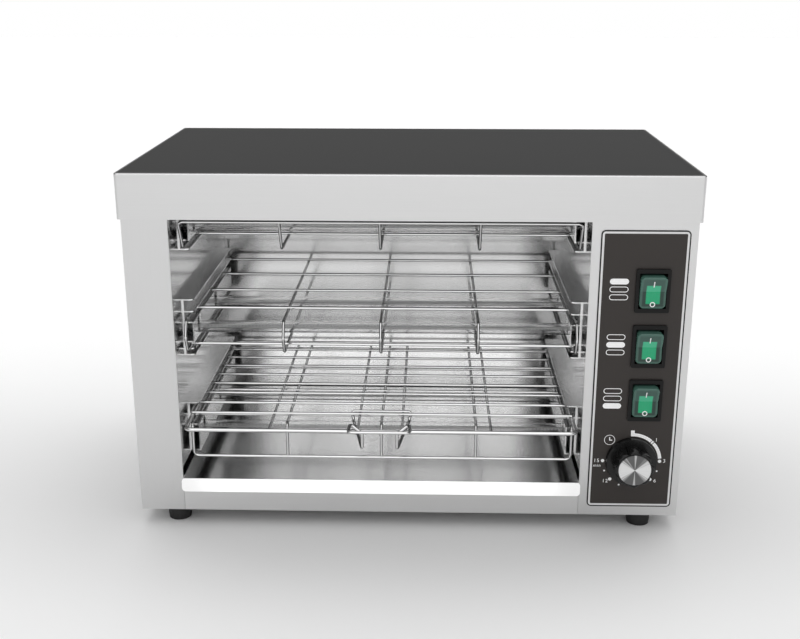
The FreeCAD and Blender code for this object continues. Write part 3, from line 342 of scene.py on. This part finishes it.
# %% The cover
RIM = 2.4 * MM
RIM_SOFT = 0.2 * MM
TOP_DEPTH, TOP_SOFT = 0.4 * MM, 0.1 * MM
APRON_DARK, APRON_BRIGHT, TOP_REFLECTION_LEVEL = 210, 214, 120
cover_steel = Finish("cover_steel", grey(APRON_BRIGHT), 0.32, 1.0)
across, back, up = cover_steel.axes()
half_width = (cover_high[0] - cover_low[0]) / 2
middle_back = (cover_low[1] + cover_high[1]) / 2
half_depth = (cover_high[1] - cover_low[1]) / 2
inside_x = abs(across).below(half_width - RIM, RIM_SOFT)
inside_y = abs(back - middle_back).below(half_depth - RIM, RIM_SOFT)
top_reflection_mask = inside_x * inside_y * up.above(top - TOP_DEPTH, TOP_SOFT)
bright = cover_steel.blend(cover_steel.noise(ALONG_X), grey(APRON_DARK), grey(APRON_BRIGHT))
# Painted reflection: the top face is dark grey, as the room it mirrors.
cover_steel.set("Base Color", cover_steel.blend(top_reflection_mask, bright, grey(TOP_REFLECTION_LEVEL)))
print("rim line", RIM / MM, "mm wide")

# %% [markdown]
# Chrome wire is a mirror with a slight haze, and its tint darkens the edges of each wire. The quartz is
# clear and bends the light less than real quartz would, so that the tubes stay quiet against the polished
# back. The plastics have a fine even grain: the switch housings and the knob are satin, and the feet are
# matt rubber.

# %% Other finishes
GRAIN_FINE, GRAIN_COARSE = 1800.0, 900.0
GRAIN_GLOSS = 0.1
GRAIN_DEPTH = 0.0001
chrome = Finish("chrome_wire", grey(218), 0.06, 1.0, Specular_Tint=(0.25, 0.25, 0.25, 1.0))
quartz = Finish("clear_quartz", grey(252), 0.02, 0.0, Transmission_Weight=1.0, IOR=1.25)
coil_wire = Finish("resistance_wire", grey(205), 0.35, 1.0)
ceramic = Finish("steatite", grey(232), 0.5)
white_plastic = Finish("white_plastic", grey(225), 0.4)


def moulded(name, level, roughness, relief, gloss=0.5, scale=GRAIN_FINE):
    """Moulded plastic or rubber with a fine even grain."""
    finish = Finish(name, grey(level), roughness, Specular_IOR_Level=gloss)
    grain = finish.noise((scale, scale, scale), 2.0)
    finish.set("Roughness", grain * GRAIN_GLOSS + (roughness - GRAIN_GLOSS / 2))
    finish.bump(grain, relief, GRAIN_DEPTH)
    return finish


bezel_plastic = moulded("bezel_plastic", 12, 0.3, 0.03, gloss=0.22)
knob_plastic = moulded("knob_plastic", 12, 0.26, 0.05, gloss=0.4)
foot_rubber = moulded("foot_rubber", 24, 0.6, 0.2, scale=GRAIN_COARSE)
print("other finishes: chrome, quartz, coil wire, ceramic, white plastic, bezel, knob and rubber")

# %% [markdown]
# The knob's cap is turned aluminium. Its rings throw the light out in wedges: bright to the left and right,
# dark above and below, with a few fine rays and one narrow bright one up and down. Real grooves would be far
# too fine to model, so these are painted highlights and painted shade in the cap's colour. The angle round
# the knob's axis gives all of that.

# %% Turned cap
CAP_SHADE, CAP_HIGHLIGHT = 106, 230
RAY_COUNT, RAY_SPREAD = 7.0, 0.6
WEDGE_EDGE, WEDGE_SOFT = 0.75, 0.42
UPRIGHT_EDGE, UPRIGHT_SOFT, UPRIGHT_SHARE = 0.07, 0.08, 0.6
knob_x = (knob_low[0] + knob_high[0]) / 2
knob_z = (knob_low[2] + knob_high[2]) / 2
cap_metal = Finish("turned_aluminium", grey(CAP_HIGHLIGHT), 0.3, 1.0)
across, _, up = cap_metal.axes()
angle = (up - knob_z).math("ARCTAN2", across - knob_x)
sideways = abs(angle.math("COSINE"))
rays = cap_metal.node("ShaderNodeTexNoise", {"noise_dimensions": "1D"}, W=angle, Scale=RAY_COUNT, Detail=3.0)
highlight_wedge = (sideways + (rays - 0.5) * RAY_SPREAD).above(WEDGE_EDGE, WEDGE_SOFT)
upright_highlight = sideways.below(UPRIGHT_EDGE, UPRIGHT_SOFT)
cap_highlight = (highlight_wedge + upright_highlight * UPRIGHT_SHARE).math("MINIMUM", 1.0)
# The cap's colour carries painted highlights to the sides and painted shade above and below.
cap_metal.set("Base Color", cap_metal.blend(cap_highlight, grey(CAP_SHADE), grey(CAP_HIGHLIGHT)))
print("cap centred on x", round(knob_x, 4), "z", round(knob_z, 4))

# %% [markdown]
# The control plate is a dark printed foil: a thin black edge, a silver line inside it and a brown-grey
# field. A picture of it could be laid on, but a formula stays sharp at any distance. The distance to the
# nearest edge of a rectangle with rounded corners picks the colour.

# %% Control plate
PLATE_EDGE = 1.0 * MM
PLATE_LINE = 1.6 * MM
PLATE_CORNER = 3.5 * MM
PLATE_SOFT = 0.15 * MM
PLATE_FIELD = (0.040, 0.034, 0.031)
plate_finish = Finish("printed_plate", PLATE_FIELD, 0.4, Specular_IOR_Level=0.3)
across, _, up = plate_finish.axes()
plate_half_x = (plate_high[0] - plate_low[0]) / 2
plate_half_z = (plate_high[2] - plate_low[2]) / 2
offset_x = abs(across - (plate_low[0] + plate_half_x)) - (plate_half_x - PLATE_CORNER)
offset_z = abs(up - (plate_low[2] + plate_half_z)) - (plate_half_z - PLATE_CORNER)
outer = (offset_x.math("MAXIMUM", 0.0) ** 2.0 + offset_z.math("MAXIMUM", 0.0) ** 2.0) ** 0.5
inner = offset_x.math("MAXIMUM", offset_z).math("MINIMUM", 0.0)
depth = PLATE_CORNER - (outer + inner)
line = depth.above(PLATE_EDGE, PLATE_SOFT) * depth.below(PLATE_EDGE + PLATE_LINE, PLATE_SOFT)
field = depth.above(PLATE_EDGE + PLATE_LINE, PLATE_SOFT)
print_colour = plate_finish.blend(field, grey(12), PLATE_FIELD)
plate_finish.set("Base Color", plate_finish.blend(line, print_colour, grey(236)))
print("plate", round(2 * plate_half_x / MM, 1), "x", round(2 * plate_half_z / MM, 1), "mm")

# %% [markdown]
# A finish is given to a model node by filling its material slots. The mesh itself is left alone, because it
# is the engineering model's own surface.

# %% Dress the model's nodes
def every(*groups):
    """The node names made of one word from each group, joined by underscores."""
    return ["_".join(words) for words in itertools.product(*groups)]


def dress(names, finish):
    """Give a finish to each named node."""
    for name in names:
        slots = nodes[name].data.materials
        slots.clear()
        slots.append(finish.material)


dress(["top_cover"], cover_steel)
dress(["right_side_panel"], column_steel)
dress(["left_side_panel", "rear_panel"], side_steel)
dress(["front_rail", "base_plate", "tray_support"], rail_steel)
dress(every(SIDES, ["cavity_wall"]), cavity_steel)
dress(["cavity_back"], back_steel)
dress(["cavity_roof"], shaded_roof_steel)
dress(["crumb_tray"], tray_steel)
dress(every(LEVELS, SIDES, ["rail"]), slide_steel)
dress(every(LEVELS, ["guard"]) + ["wire_rack", "rack_handle"], chrome)
dress(every(LEVELS, ROWS, ["quartz_tube"]), quartz)
dress(every(LEVELS, ROWS, ["heating_coil"]), coil_wire)
dress(every(SIDES, ["ceramic_ends"]), ceramic)
dress(["terminal_block"], white_plastic)
dress(every(LEVELS, ["switch_housing"]) + ["timer_body", "cord_gland"], bezel_plastic)
dress(["timer_knob"], knob_plastic)
dress(["knob_cap"], cap_metal)
dress(every(ROWS, SIDES, ["foot"]), foot_rubber)
dress(["foot_screws", "rear_screws", "cover_screws", "timer_nut", "timer_shaft"], zinc_steel)
dress(["control_plate"], plate_finish)
print("dressed", sum(1 for node in nodes.values() if node.data.materials), "nodes")

# %% [markdown]
# New pieces are grids of points turned into quads. They could be built point by point, but whole arrays are
# shorter to write and much faster: `add_piece` puts them into a mesh with foreach_set, gives the mesh a
# finish and lets the object ride on its body.

# %% Mesh helpers
def grid_faces(rows, columns, close_columns=False):
    """Quads between neighbouring points of a grid stored row by row, joined round if the columns close."""
    column_count = columns if close_columns else columns - 1
    i, j = np.meshgrid(np.arange(rows - 1), np.arange(column_count), indexing="ij")
    i2, j2 = i + 1, (j + 1) % columns
    quads = np.stack([i * columns + j, i * columns + j2, i2 * columns + j2, i2 * columns + j], axis=-1)
    return quads.reshape(-1, 4)


def add_object(name, mesh, body):
    """An object at the origin that shows a finished mesh and rides on a body."""
    piece = bpy.data.objects.new(name, mesh)
    bpy.context.scene.collection.objects.link(piece)
    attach(piece, body)
    return piece


def add_piece(name, points, faces, finish, body, smooth=True, chart=None):
    """A piece from points and equal-sided faces, dressed and riding on a body.

    The chart gives each point its place on a flat map, stored as the mesh's UV layer.
    """
    points = np.asarray(points, float).reshape(-1, 3)
    mesh = bpy.data.meshes.new(name)
    mesh.vertices.add(len(points))
    mesh.vertices.foreach_set("co", points.ravel())
    mesh.loops.add(faces.size)
    mesh.loops.foreach_set("vertex_index", faces.ravel())
    mesh.polygons.add(len(faces))
    mesh.polygons.foreach_set("loop_start", np.arange(len(faces)) * faces.shape[1])
    mesh.polygons.foreach_set("use_smooth", np.broadcast_to(smooth, len(faces)))
    mesh.update(calc_edges=True)
    if chart is not None:
        layer = mesh.uv_layers.new(name="chart")
        layer.data.foreach_set("uv", np.asarray(chart, float)[faces.ravel()].ravel())
    mesh.materials.append(finish.material)
    return add_object(name, mesh, body)


print("a strip of two rows of four points has", len(grid_faces(2, 4)), "quads")

# %% [markdown]
# The printing on the control plate could be a second mask in the foil's material. Flat shapes a hair off
# the foil are easier to place and keep their edges, so each bar, dot and arc is a polygon from a formula.
# The list `ink_parts` gathers them, because they become one piece.

# %% Print helpers
INK_LIFT = 0.06 * MM
DOT_CORE = 0.001
DIAL_RIGHT, DIAL_DOWN, DIAL_RADIUS = 34.1, 192.0, 23.1
# The ink's faint white glow is painted light: the print is no lamp, and the glow only makes it read brighter.
ink = Finish("white_ink", grey(252), 0.45, 0.0, Emission_Color=(*WHITE, 1.0), Emission_Strength=0.1)
ink_parts = []


def plate_point(right, down):
    """Plate coordinates in millimetres from its top left corner, as X and Z in metres."""
    return plate_low[0] + right * MM, plate_high[2] - down * MM


def on_plate(outline):
    """Points (x, z) given their third coordinate, just in front of the plate's face."""
    return np.stack([outline[:, 0], np.full(len(outline), plate_face - INK_LIFT), outline[:, 1]], axis=1)


def flat_strip(outer, inner):
    """A band of quads between two closed outlines of (x, z) points on the plate."""
    points = on_plate(np.concatenate([outer, inner]))
    ink_parts.append((points, grid_faces(2, len(outer), close_columns=True)))


def stadium(right, down, width, height, inset=0.0, steps=12):
    """The outline of a bar with round ends: two half circles joined by straight sides."""
    radius = height / 2 - inset
    turn = np.linspace(-math.pi / 2, math.pi / 2, steps)
    half = width / 2 - height / 2
    right_end = np.stack([half + radius * np.cos(turn), radius * np.sin(turn)], axis=1)
    x0, z0 = plate_point(right + width / 2, down + height / 2)
    return np.concatenate([right_end, -right_end]) * MM + (x0, z0)


def ring_outline(right, down, radius, steps=40):
    """A circle on the plate: its centre plus the radius times the cosine and sine of the turn."""
    turn = np.linspace(0, 2 * math.pi, steps, endpoint=False)
    x0, z0 = plate_point(right, down)
    return np.stack([x0 + radius * MM * np.cos(turn), z0 + radius * MM * np.sin(turn)], axis=1)


def dial_dot(angle, radius):
    """A filled dot on the dial's mark circle at an angle clockwise from the top."""
    turned = math.radians(angle)
    right, down = DIAL_RIGHT + DIAL_RADIUS * math.sin(turned), DIAL_DOWN - DIAL_RADIUS * math.cos(turned)
    flat_strip(ring_outline(right, down, radius), ring_outline(right, down, radius * DOT_CORE))


def arc_band(start, end, inner, outer, steps=40):
    """A band between two radii round the dial, by angles clockwise from the top."""
    turn = np.radians(np.linspace(start, end, steps))
    x0, z0 = plate_point(DIAL_RIGHT, DIAL_DOWN)
    rows = []
    for radius in (outer, inner):
        rows.append(np.stack([x0 + radius * MM * np.sin(turn), z0 + radius * MM * np.cos(turn)], axis=1))
    ink_parts.append((on_plate(np.concatenate(rows)), grid_faces(2, steps)))


print("ink stands", round(INK_LIFT / MM, 2), "mm off the plate")

# %% [markdown]
# Beside each switch three bars stand for the three tube levels, and the filled one is the level that the
# switch heats. Round the knob runs the timer's scale: a thick arc with two gaps and a foot at zero, then
# round marks at the longer times and small ones between. All of it repeats at a pitch, so loops place it.

# %% Switch bars and dial scale
BAR_RIGHT, BAR_WIDTH, BAR_HEIGHT, BAR_PITCH = 8.5, 14.7, 4.6, 6.35
GROUP_DOWN, GROUP_PITCH = 38.3, 45.35
FILLED, OUTLINED = BAR_HEIGHT / 2.001, 0.55
ARC_SPANS = ((3.0, 40.8), (42.2, 46.2), (47.6, 84.0))
ARC_HALF, ZERO_HEIGHT, ZERO_SPAN = 1.35, 3.7, (-3.5, 3.2)
ROUND_MARKS, ROUND_RADIUS = (90, 135, 225, 270), 1.4
SMALL_MARKS, SMALL_RADIUS = (112.5, 202.5, 247.5), 0.75
for group in range(3):
    for row in range(3):
        bar = (BAR_RIGHT, GROUP_DOWN + group * GROUP_PITCH + row * BAR_PITCH, BAR_WIDTH, BAR_HEIGHT)
        flat_strip(stadium(*bar), stadium(*bar, inset=FILLED if row == group else OUTLINED))
for start, end in ARC_SPANS:
    arc_band(start, end, DIAL_RADIUS - ARC_HALF, DIAL_RADIUS + ARC_HALF)
arc_band(*ZERO_SPAN, DIAL_RADIUS - ARC_HALF, DIAL_RADIUS + ZERO_HEIGHT, steps=8)
for marks, radius in ((ROUND_MARKS, ROUND_RADIUS), (SMALL_MARKS, SMALL_RADIUS)):
    for mark in marks:
        dial_dot(mark, radius)
print("printed shapes so far:", len(ink_parts))

# %% [markdown]
# A small clock above the dial says that it is a timer: a ring and two hands, each hand a rectangle. With it
# the printing is complete, and all shapes are joined into one mesh by shifting the point numbers of their
# faces.

# %% Clock sign
CLOCK_RIGHT, CLOCK_DOWN = 15.7, 173.6
CLOCK_OUTER, CLOCK_INNER = 4.4, 3.95
HAND_SIZES = ((0.8, 2.8, -0.4, -2.4), (2.5, 0.8, -0.4, -0.2))
clock = (CLOCK_RIGHT, CLOCK_DOWN)
flat_strip(ring_outline(*clock, CLOCK_OUTER), ring_outline(*clock, CLOCK_INNER))
for width, height, right, down in HAND_SIZES:
    corners = np.array([(0, 0), (width, 0), (width, -height), (0, -height)]) * MM
    corners = corners + plate_point(CLOCK_RIGHT + right, CLOCK_DOWN + down)
    ink_parts.append((on_plate(corners), np.array([[0, 3, 2, 1]])))
offsets = np.cumsum([0] + [len(points) for points, _ in ink_parts[:-1]])
all_points = np.concatenate([points for points, _ in ink_parts])
all_faces = np.concatenate([faces + offset for (_, faces), offset in zip(ink_parts, offsets)])
add_piece("scale_print", all_points, all_faces, ink, "housing", smooth=False)
print("printed shapes:", len(ink_parts))

# %% [markdown]
# The dial's numbers are minutes. Letters are awkward as formulas, so Blender's text object draws them. The
# letters become a mesh, and their place goes into the mesh's points, so that the piece sits at the origin.

# %% Dial numbers
NUMBER_HEIGHT, UNIT_HEIGHT = 3.1, 2.6
TEXT_SIZE = 1.4
TEXT_SPACING = 1.2
LABELS = {
    "dial_1": ("1", 53.4, 173.3, NUMBER_HEIGHT),
    "dial_3": ("3", 61.0, 191.8, NUMBER_HEIGHT),
    "dial_6": ("6", 54.4, 209.6, NUMBER_HEIGHT),
    "dial_12": ("12", 13.9, 210.1, NUMBER_HEIGHT),
    "dial_15": ("15", 6.0, 192.0, NUMBER_HEIGHT),
    "dial_min": ("min", 6.6, 196.3, UNIT_HEIGHT),
}


def printed_text(name, words, right, down, height):
    """Upright text centred on a place of the plate, made into a mesh with its place in the points."""
    curve = bpy.data.curves.new(name, "FONT")
    curve.body = words
    curve.size = height * TEXT_SIZE * MM
    curve.space_character = TEXT_SPACING
    curve.align_x = "CENTER"
    curve.align_y = "CENTER"
    holder = bpy.data.objects.new(name + "_curve", curve)
    bpy.context.scene.collection.objects.link(holder)
    bpy.context.view_layer.update()
    flat = bpy.data.meshes.new_from_object(holder)
    bpy.data.objects.remove(holder)
    letters = np.empty(len(flat.vertices) * 3)
    flat.vertices.foreach_get("co", letters)
    placed = on_plate(letters.reshape(-1, 3)[:, :2] + plate_point(right, down))
    flat.vertices.foreach_set("co", placed.ravel())
    flat.materials.clear()
    flat.materials.append(ink.material)
    add_object(name, flat, "housing")


for name, label in LABELS.items():
    printed_text(name, *label)
print("labels:", ", ".join(label[0] for label in LABELS.values()))

# %% [markdown]
# Each rocker is a green lens with rounded corners and a face bent inward at its middle line. A box with
# bevels would not give that bend, so the lens is a stack of rings. Its outline is a rounded rectangle:
# rings of it grow from the centre of the face to the rim, turn over a small bevel and run back into the
# housing.

# %% Lens shape
LENS_HALF_X, LENS_HALF_V, LENS_CORNER = 10.2 * MM, 13.3 * MM, 3.6 * MM
LENS_CREASE, LENS_BACK, LENS_BEVEL, LENS_RISE = 3.0 * MM, -6.0 * MM, 0.9 * MM, 0.1 * MM
LENS_BEND = math.radians(9.7)
LENS_DRAFT = 0.1
CORNER_POINTS, FACE_RINGS, BEVEL_RINGS = 12, 9, 6


def rounded_rectangle(half_x, half_v, corner):
    """Points round a rectangle whose corners are quarter circles, with one point on each middle line."""
    turn = np.linspace(0, math.pi / 2, CORNER_POINTS)
    arc = np.stack([half_x - corner + corner * np.cos(turn), half_v - corner + corner * np.sin(turn)], axis=1)
    quarter = np.concatenate([[(half_x, 0.0)], arc])
    mirrored = np.concatenate([[(0.0, half_v)], (arc * (-1, 1))[::-1]])
    upper = np.concatenate([quarter, mirrored])
    return np.concatenate([upper, -upper])


def lens_face(v):
    """How far the face stands out of the plate: least at the middle line, more towards both ends."""
    return LENS_CREASE + np.abs(v) * math.tan(LENS_BEND)


def lens_rings():
    """The rings of a lens as (points, height) from the centre of its face to its back."""
    inner = (LENS_HALF_X - LENS_BEVEL, LENS_HALF_V - LENS_BEVEL, LENS_CORNER - LENS_BEVEL)
    rim = rounded_rectangle(*inner)
    rings = [(rim * share, lens_face(rim[:, 1] * share)) for share in np.linspace(0, 1, FACE_RINGS)]
    for turn in np.linspace(0, math.pi / 2, BEVEL_RINGS)[1:]:
        inset = LENS_BEVEL * (1 - math.sin(turn))
        ring = rounded_rectangle(LENS_HALF_X - inset, LENS_HALF_V - inset, LENS_CORNER - inset)
        rings.append((ring, lens_face(ring[:, 1]) - LENS_BEVEL * (1 - math.cos(turn))))
    edge, _ = rings[-1]
    rings.append((edge * (1.0, 1 - LENS_DRAFT), np.full(len(edge), LENS_BACK)))
    return rings


rings = lens_rings()
print("a lens has", len(rings), "rings of", len(rings[0][0]), "points")

# %% [markdown]
# A lamp behind the lens lights a soft rectangle in it. A real lamp inside a clear body would be slow and
# noisy to render, so the lens is opaque and masks paint the glow, the brighter upper half and the lighter
# rim. The brighter upper half is a painted reflection of the pale floor, which that half faces. The masks
# read the lens's own flat chart, which turns with it when the switch tilts.

# %% Lens finish
CHART_SIZE = 40 * MM
GLOW_HALF_X, GLOW_HALF_V, GLOW_DROP, GLOW_SOFT = 5.4 * MM, 7.6 * MM, 1.7 * MM, 0.9 * MM
CREASE_LINE, CREASE_SOFT = 0.5 * MM, 0.3 * MM
RIM_HALF_X, RIM_HALF_V, RIM_BLUR, RIM_SHARE = 8.3 * MM, 11.4 * MM, 1.2 * MM, 0.55
LOWER_BODY, LOWER_GLOW = (0.012, 0.045, 0.033), (0.008, 0.33, 0.15)
UPPER_REFLECTION_BODY, UPPER_GLOW = (0.045, 0.105, 0.085), (0.06, 0.42, 0.24)
RIM_COLOUR, LAMP_COLOUR, LAMP_STRENGTH = (0.08, 0.19, 0.15), (0.0, 0.3, 0.13), 0.2


def soft_box(signal_x, signal_v, half_x, half_v, soft):
    """A mask that is 1 inside a rectangle about the origin and fades over a soft edge."""
    return abs(signal_x).below(half_x, soft) * abs(signal_v).below(half_v, soft)


lens_finish = Finish("green_lens", LOWER_BODY, 0.12)
chart_point = lens_finish.node("ShaderNodeUVMap", {"uv_map": "chart"})
chart_x, chart_v, _ = lens_finish.split(chart_point)
lens_x = (chart_x - 0.5) * CHART_SIZE
lens_v = (chart_v - 0.5) * CHART_SIZE
glow = soft_box(lens_x, lens_v + GLOW_DROP, GLOW_HALF_X, GLOW_HALF_V, GLOW_SOFT)
# Painted reflection: the upper half is lighter, as it faces the pale floor.
upper_half = lens_v.above(CREASE_LINE, CREASE_SOFT)
rim_light = 1.0 - soft_box(lens_x, lens_v, RIM_HALF_X, RIM_HALF_V, RIM_BLUR)
lower = lens_finish.blend(glow, LOWER_BODY, LOWER_GLOW)
upper = lens_finish.blend(glow, UPPER_REFLECTION_BODY, UPPER_GLOW)
body_colour = lens_finish.blend(upper_half, lower, upper)
lens_finish.set("Base Color", lens_finish.blend(rim_light * RIM_SHARE, body_colour, RIM_COLOUR))
lens_finish.set("Emission Color", lens_finish.blend(glow, BLACK, LAMP_COLOUR))
lens_finish.set("Emission Strength", LAMP_STRENGTH)
print("glow", round(2 * GLOW_HALF_X / MM, 1), "x", round(2 * GLOW_HALF_V / MM, 1), "mm")

# %% [markdown]
# The lens is tilted as far as its face is bent, so the lower half lies parallel to the plate, as when it is
# pressed. On it lie a bar near the top for on and a ring near the bottom for off. The marks follow the face
# by the same formula as the lens, which keeps them clear of it everywhere.

# %% Lenses and their marks
REST_TILT = LENS_BEND
MARK_LIFT = 0.05 * MM
ON_HALF, ON_TOP, ON_BOTTOM = 0.4, 9.6, 4.6
OFF_OUTER, OFF_INNER, OFF_HEIGHT, OFF_POINTS = 2.1, 1.3, -9.8, 32
mark_ink = Finish("mark_ink", grey(250), 0.3)


def lens_place(points, out, centre):
    """Points of the lens (across, along) and their height, tilted about the pivot, in the scene's space.

    Along the lens and out of it turn as a pair: each new coordinate is a cosine share of one and a sine
    share of the other.
    """
    across, along = points[..., 0], points[..., 1]
    y = centre[1] - along * math.sin(REST_TILT) - out * math.cos(REST_TILT)
    z = centre[2] + along * math.cos(REST_TILT) - out * math.sin(REST_TILT)
    return np.stack([centre[0] + across, y, z], axis=-1)


def add_mark(name, outline, faces, centre, body):
    """A flat mark that follows the lens's face."""
    placed = lens_place(outline, lens_face(outline[..., 1]) + MARK_LIFT, centre)
    add_piece(name, placed, faces, mark_ink, body, smooth=False)


outlines = np.stack([points for points, _ in rings])
heights = np.stack([height for _, height in rings])
lens_faces = grid_faces(*outlines.shape[:2], close_columns=True)
lens_smooth = np.arange(len(lens_faces)) >= (FACE_RINGS - 1) * outlines.shape[1]
lens_chart = outlines.reshape(-1, 2) / CHART_SIZE + 0.5
on_corners = [[(-ON_HALF, end), (ON_HALF, end)] for end in (ON_TOP, ON_BOTTOM)]
on_mark = np.array(on_corners) * MM
turn = np.linspace(0, 2 * math.pi, OFF_POINTS, endpoint=False)
circle = np.stack([np.cos(turn), np.sin(turn)], axis=1)
off_mark = np.stack([circle * OFF_OUTER * MM, circle * OFF_INNER * MM]) + (0.0, OFF_HEIGHT * MM)
for level in LEVELS:
    body = f"{level}_switch"
    low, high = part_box(f"{level}_switch_housing")
    centre = ((low[0] + high[0]) / 2, plate_face, (low[2] + high[2]) / 2 + LENS_RISE)
    placed = lens_place(outlines, heights, centre)
    lens = add_piece(f"{level}_lens", placed, lens_faces, lens_finish, body, lens_smooth, lens_chart)
    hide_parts(f"{level}_rocker")
    add_mark(f"{level}_on_mark", on_mark, grid_faces(2, 2), centre, body)
    add_mark(f"{level}_off_mark", off_mark, grid_faces(2, OFF_POINTS, close_columns=True), centre, body)
print("lenses:", len(lens_faces), "faces each")

# %% [markdown]
# Inside each quartz tube lies a coil of resistance wire. A screw modifier could wind it, but the export
# wants the place in the mesh, and a formula gives that directly. A circle is carried along a helix: the
# helix point plus the wire's own circle, drawn in the plane through the tube's axis.

# %% Heating coils
COIL_RADIUS, COIL_WIRE, COIL_PITCH = 1.5 * MM, 0.3 * MM, 1.2 * MM
COIL_INSET = 4 * MM
STEPS_ROUND, WIRE_SIDES = 10, 5


def helix_tube(start, length):
    """A wire swept along a helix about a line parallel to X.

    The angle grows evenly with X. Y and Z are its cosine and sine times the coil's radius, which the wire's
    own circle widens and narrows.
    """
    turns = length / COIL_PITCH
    phase = np.linspace(0, 2 * math.pi * turns, int(turns * STEPS_ROUND))[:, None]
    side = np.linspace(0, 2 * math.pi, WIRE_SIDES, endpoint=False)[None, :]
    outward = COIL_RADIUS + COIL_WIRE * np.cos(side)
    x = start[0] + length * phase / phase[-1] + COIL_WIRE * np.sin(side)
    return np.stack([x, start[1] + outward * np.cos(phase), start[2] + outward * np.sin(phase)], axis=-1)


for level, row in itertools.product(LEVELS, ROWS):
    low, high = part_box(f"{level}_{row}_heating_coil")
    start = (low[0] + COIL_INSET, (low[1] + high[1]) / 2, (low[2] + high[2]) / 2)
    points = helix_tube(start, high[0] - low[0] - 2 * COIL_INSET)
    faces = grid_faces(*points.shape[:2], close_columns=True)
    coil = add_piece(f"{level}_{row}_coil", points, faces, coil_wire, "housing")
    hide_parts(f"{level}_{row}_heating_coil")
print("coil faces:", len(faces))

# %% [markdown]
# The toaster stands on a pale floor, which keeps its shadow. A curved backdrop is the usual studio, but a
# large flat floor that turns white behind the toaster looks the same from the front and needs no curve.

# %% Studio floor
FLOOR_SIZE = 14
FRONT_LEVEL, NEAR_SHADE_LEVEL = 246, 233
NEAR_SHADE_EDGE, NEAR_SHADE_SOFT = -0.2, 0.26
FAR_EDGE, FAR_SOFT = 0.14, 0.5
floor_finish = Finish("studio_floor", grey(FRONT_LEVEL), 0.9, 0.0, Specular_IOR_Level=0.0)
_, back, _ = floor_finish.axes()
# Painted shade: from its front level the floor darkens to a band round the toaster's foot, across its whole
# width, before it turns white behind.
near_shade_part = back.above(NEAR_SHADE_EDGE, NEAR_SHADE_SOFT)
far_part = back.above(FAR_EDGE, FAR_SOFT)
near_shade_colour = floor_finish.blend(near_shade_part, grey(FRONT_LEVEL), grey(NEAR_SHADE_LEVEL))
floor_finish.set("Base Color", floor_finish.blend(far_part, near_shade_colour, WHITE))
floor_corners = np.array([(-1, -1, 0), (1, -1, 0), (1, 1, 0), (-1, 1, 0)]) * FLOOR_SIZE / 2
floor_mesh = bpy.data.meshes.new("studio_floor")
floor_mesh.from_pydata(floor_corners.tolist(), [], [(0, 1, 2, 3)])
floor_mesh.materials.append(floor_finish.material)
plane = bpy.data.objects.new("studio_floor", floor_mesh)
bpy.context.scene.collection.objects.link(plane)
print("floor", FLOOR_SIZE, "m wide")

# %% [markdown]
# All the light comes from the sky, so no lamp has to be placed. It is white for the camera. Mirrors see a
# bright window in front with dark sides and a dim back, which draws the dark edges of the wires. The light
# on matt things comes a little more from behind, with a bright patch nearly overhead that gathers the
# shadow close to the toaster's foot.

# %% Sky
SKY_BACK, SKY_WINDOW, SKY_CORE = 0.13, 1.08, 0.55
WINDOW_AWAY, WINDOW_SIDE = (0.1, 0.5), (0.56, 0.46)
CORE_AWAY, CORE_SIDE = (-0.45, 0.6), (0.26, 0.4)
OVERHEAD_HIGH, OVERHEAD_AWAY, OVERHEAD_LIGHT = (0.88, 0.06), (0.05, 0.06), 1.65
MATT_LIGHT, MATT_SLOPE = 0.86, 0.33
world = bpy.data.worlds.new("studio_world")
bpy.context.scene.world = world
world.use_nodes = True
sky = Graph(world.node_tree)
right, away, high = sky.split(sky.node("ShaderNodeTexCoord", {}, out="Generated"))
camera_ray = sky.node("ShaderNodeLightPath", {}, out="Is Camera Ray")
glossy_ray = sky.node("ShaderNodeLightPath", {}, out="Is Glossy Ray")
through_ray = sky.node("ShaderNodeLightPath", {}, out="Is Transmission Ray")
window = away.below(*WINDOW_AWAY) * abs(right).below(*WINDOW_SIDE)
core = away.below(*CORE_AWAY) * abs(right).below(*CORE_SIDE)
glossy_sky = window * (SKY_WINDOW - SKY_BACK) + core * SKY_CORE + SKY_BACK
overhead = high.above(*OVERHEAD_HIGH) * away.above(*OVERHEAD_AWAY)
matt_sky = away * MATT_SLOPE + overhead * OVERHEAD_LIGHT + MATT_LIGHT
direct = camera_ray.math("MAXIMUM", through_ray)
indirect = glossy_ray * glossy_sky + (1.0 - glossy_ray) * matt_sky
background = world.node_tree.nodes["Background"]
sky.join((*WHITE, 1.0), background.inputs["Color"])
sky.join(direct + (1.0 - direct) * indirect, background.inputs["Strength"])
print("sky ready")

# %% [markdown]
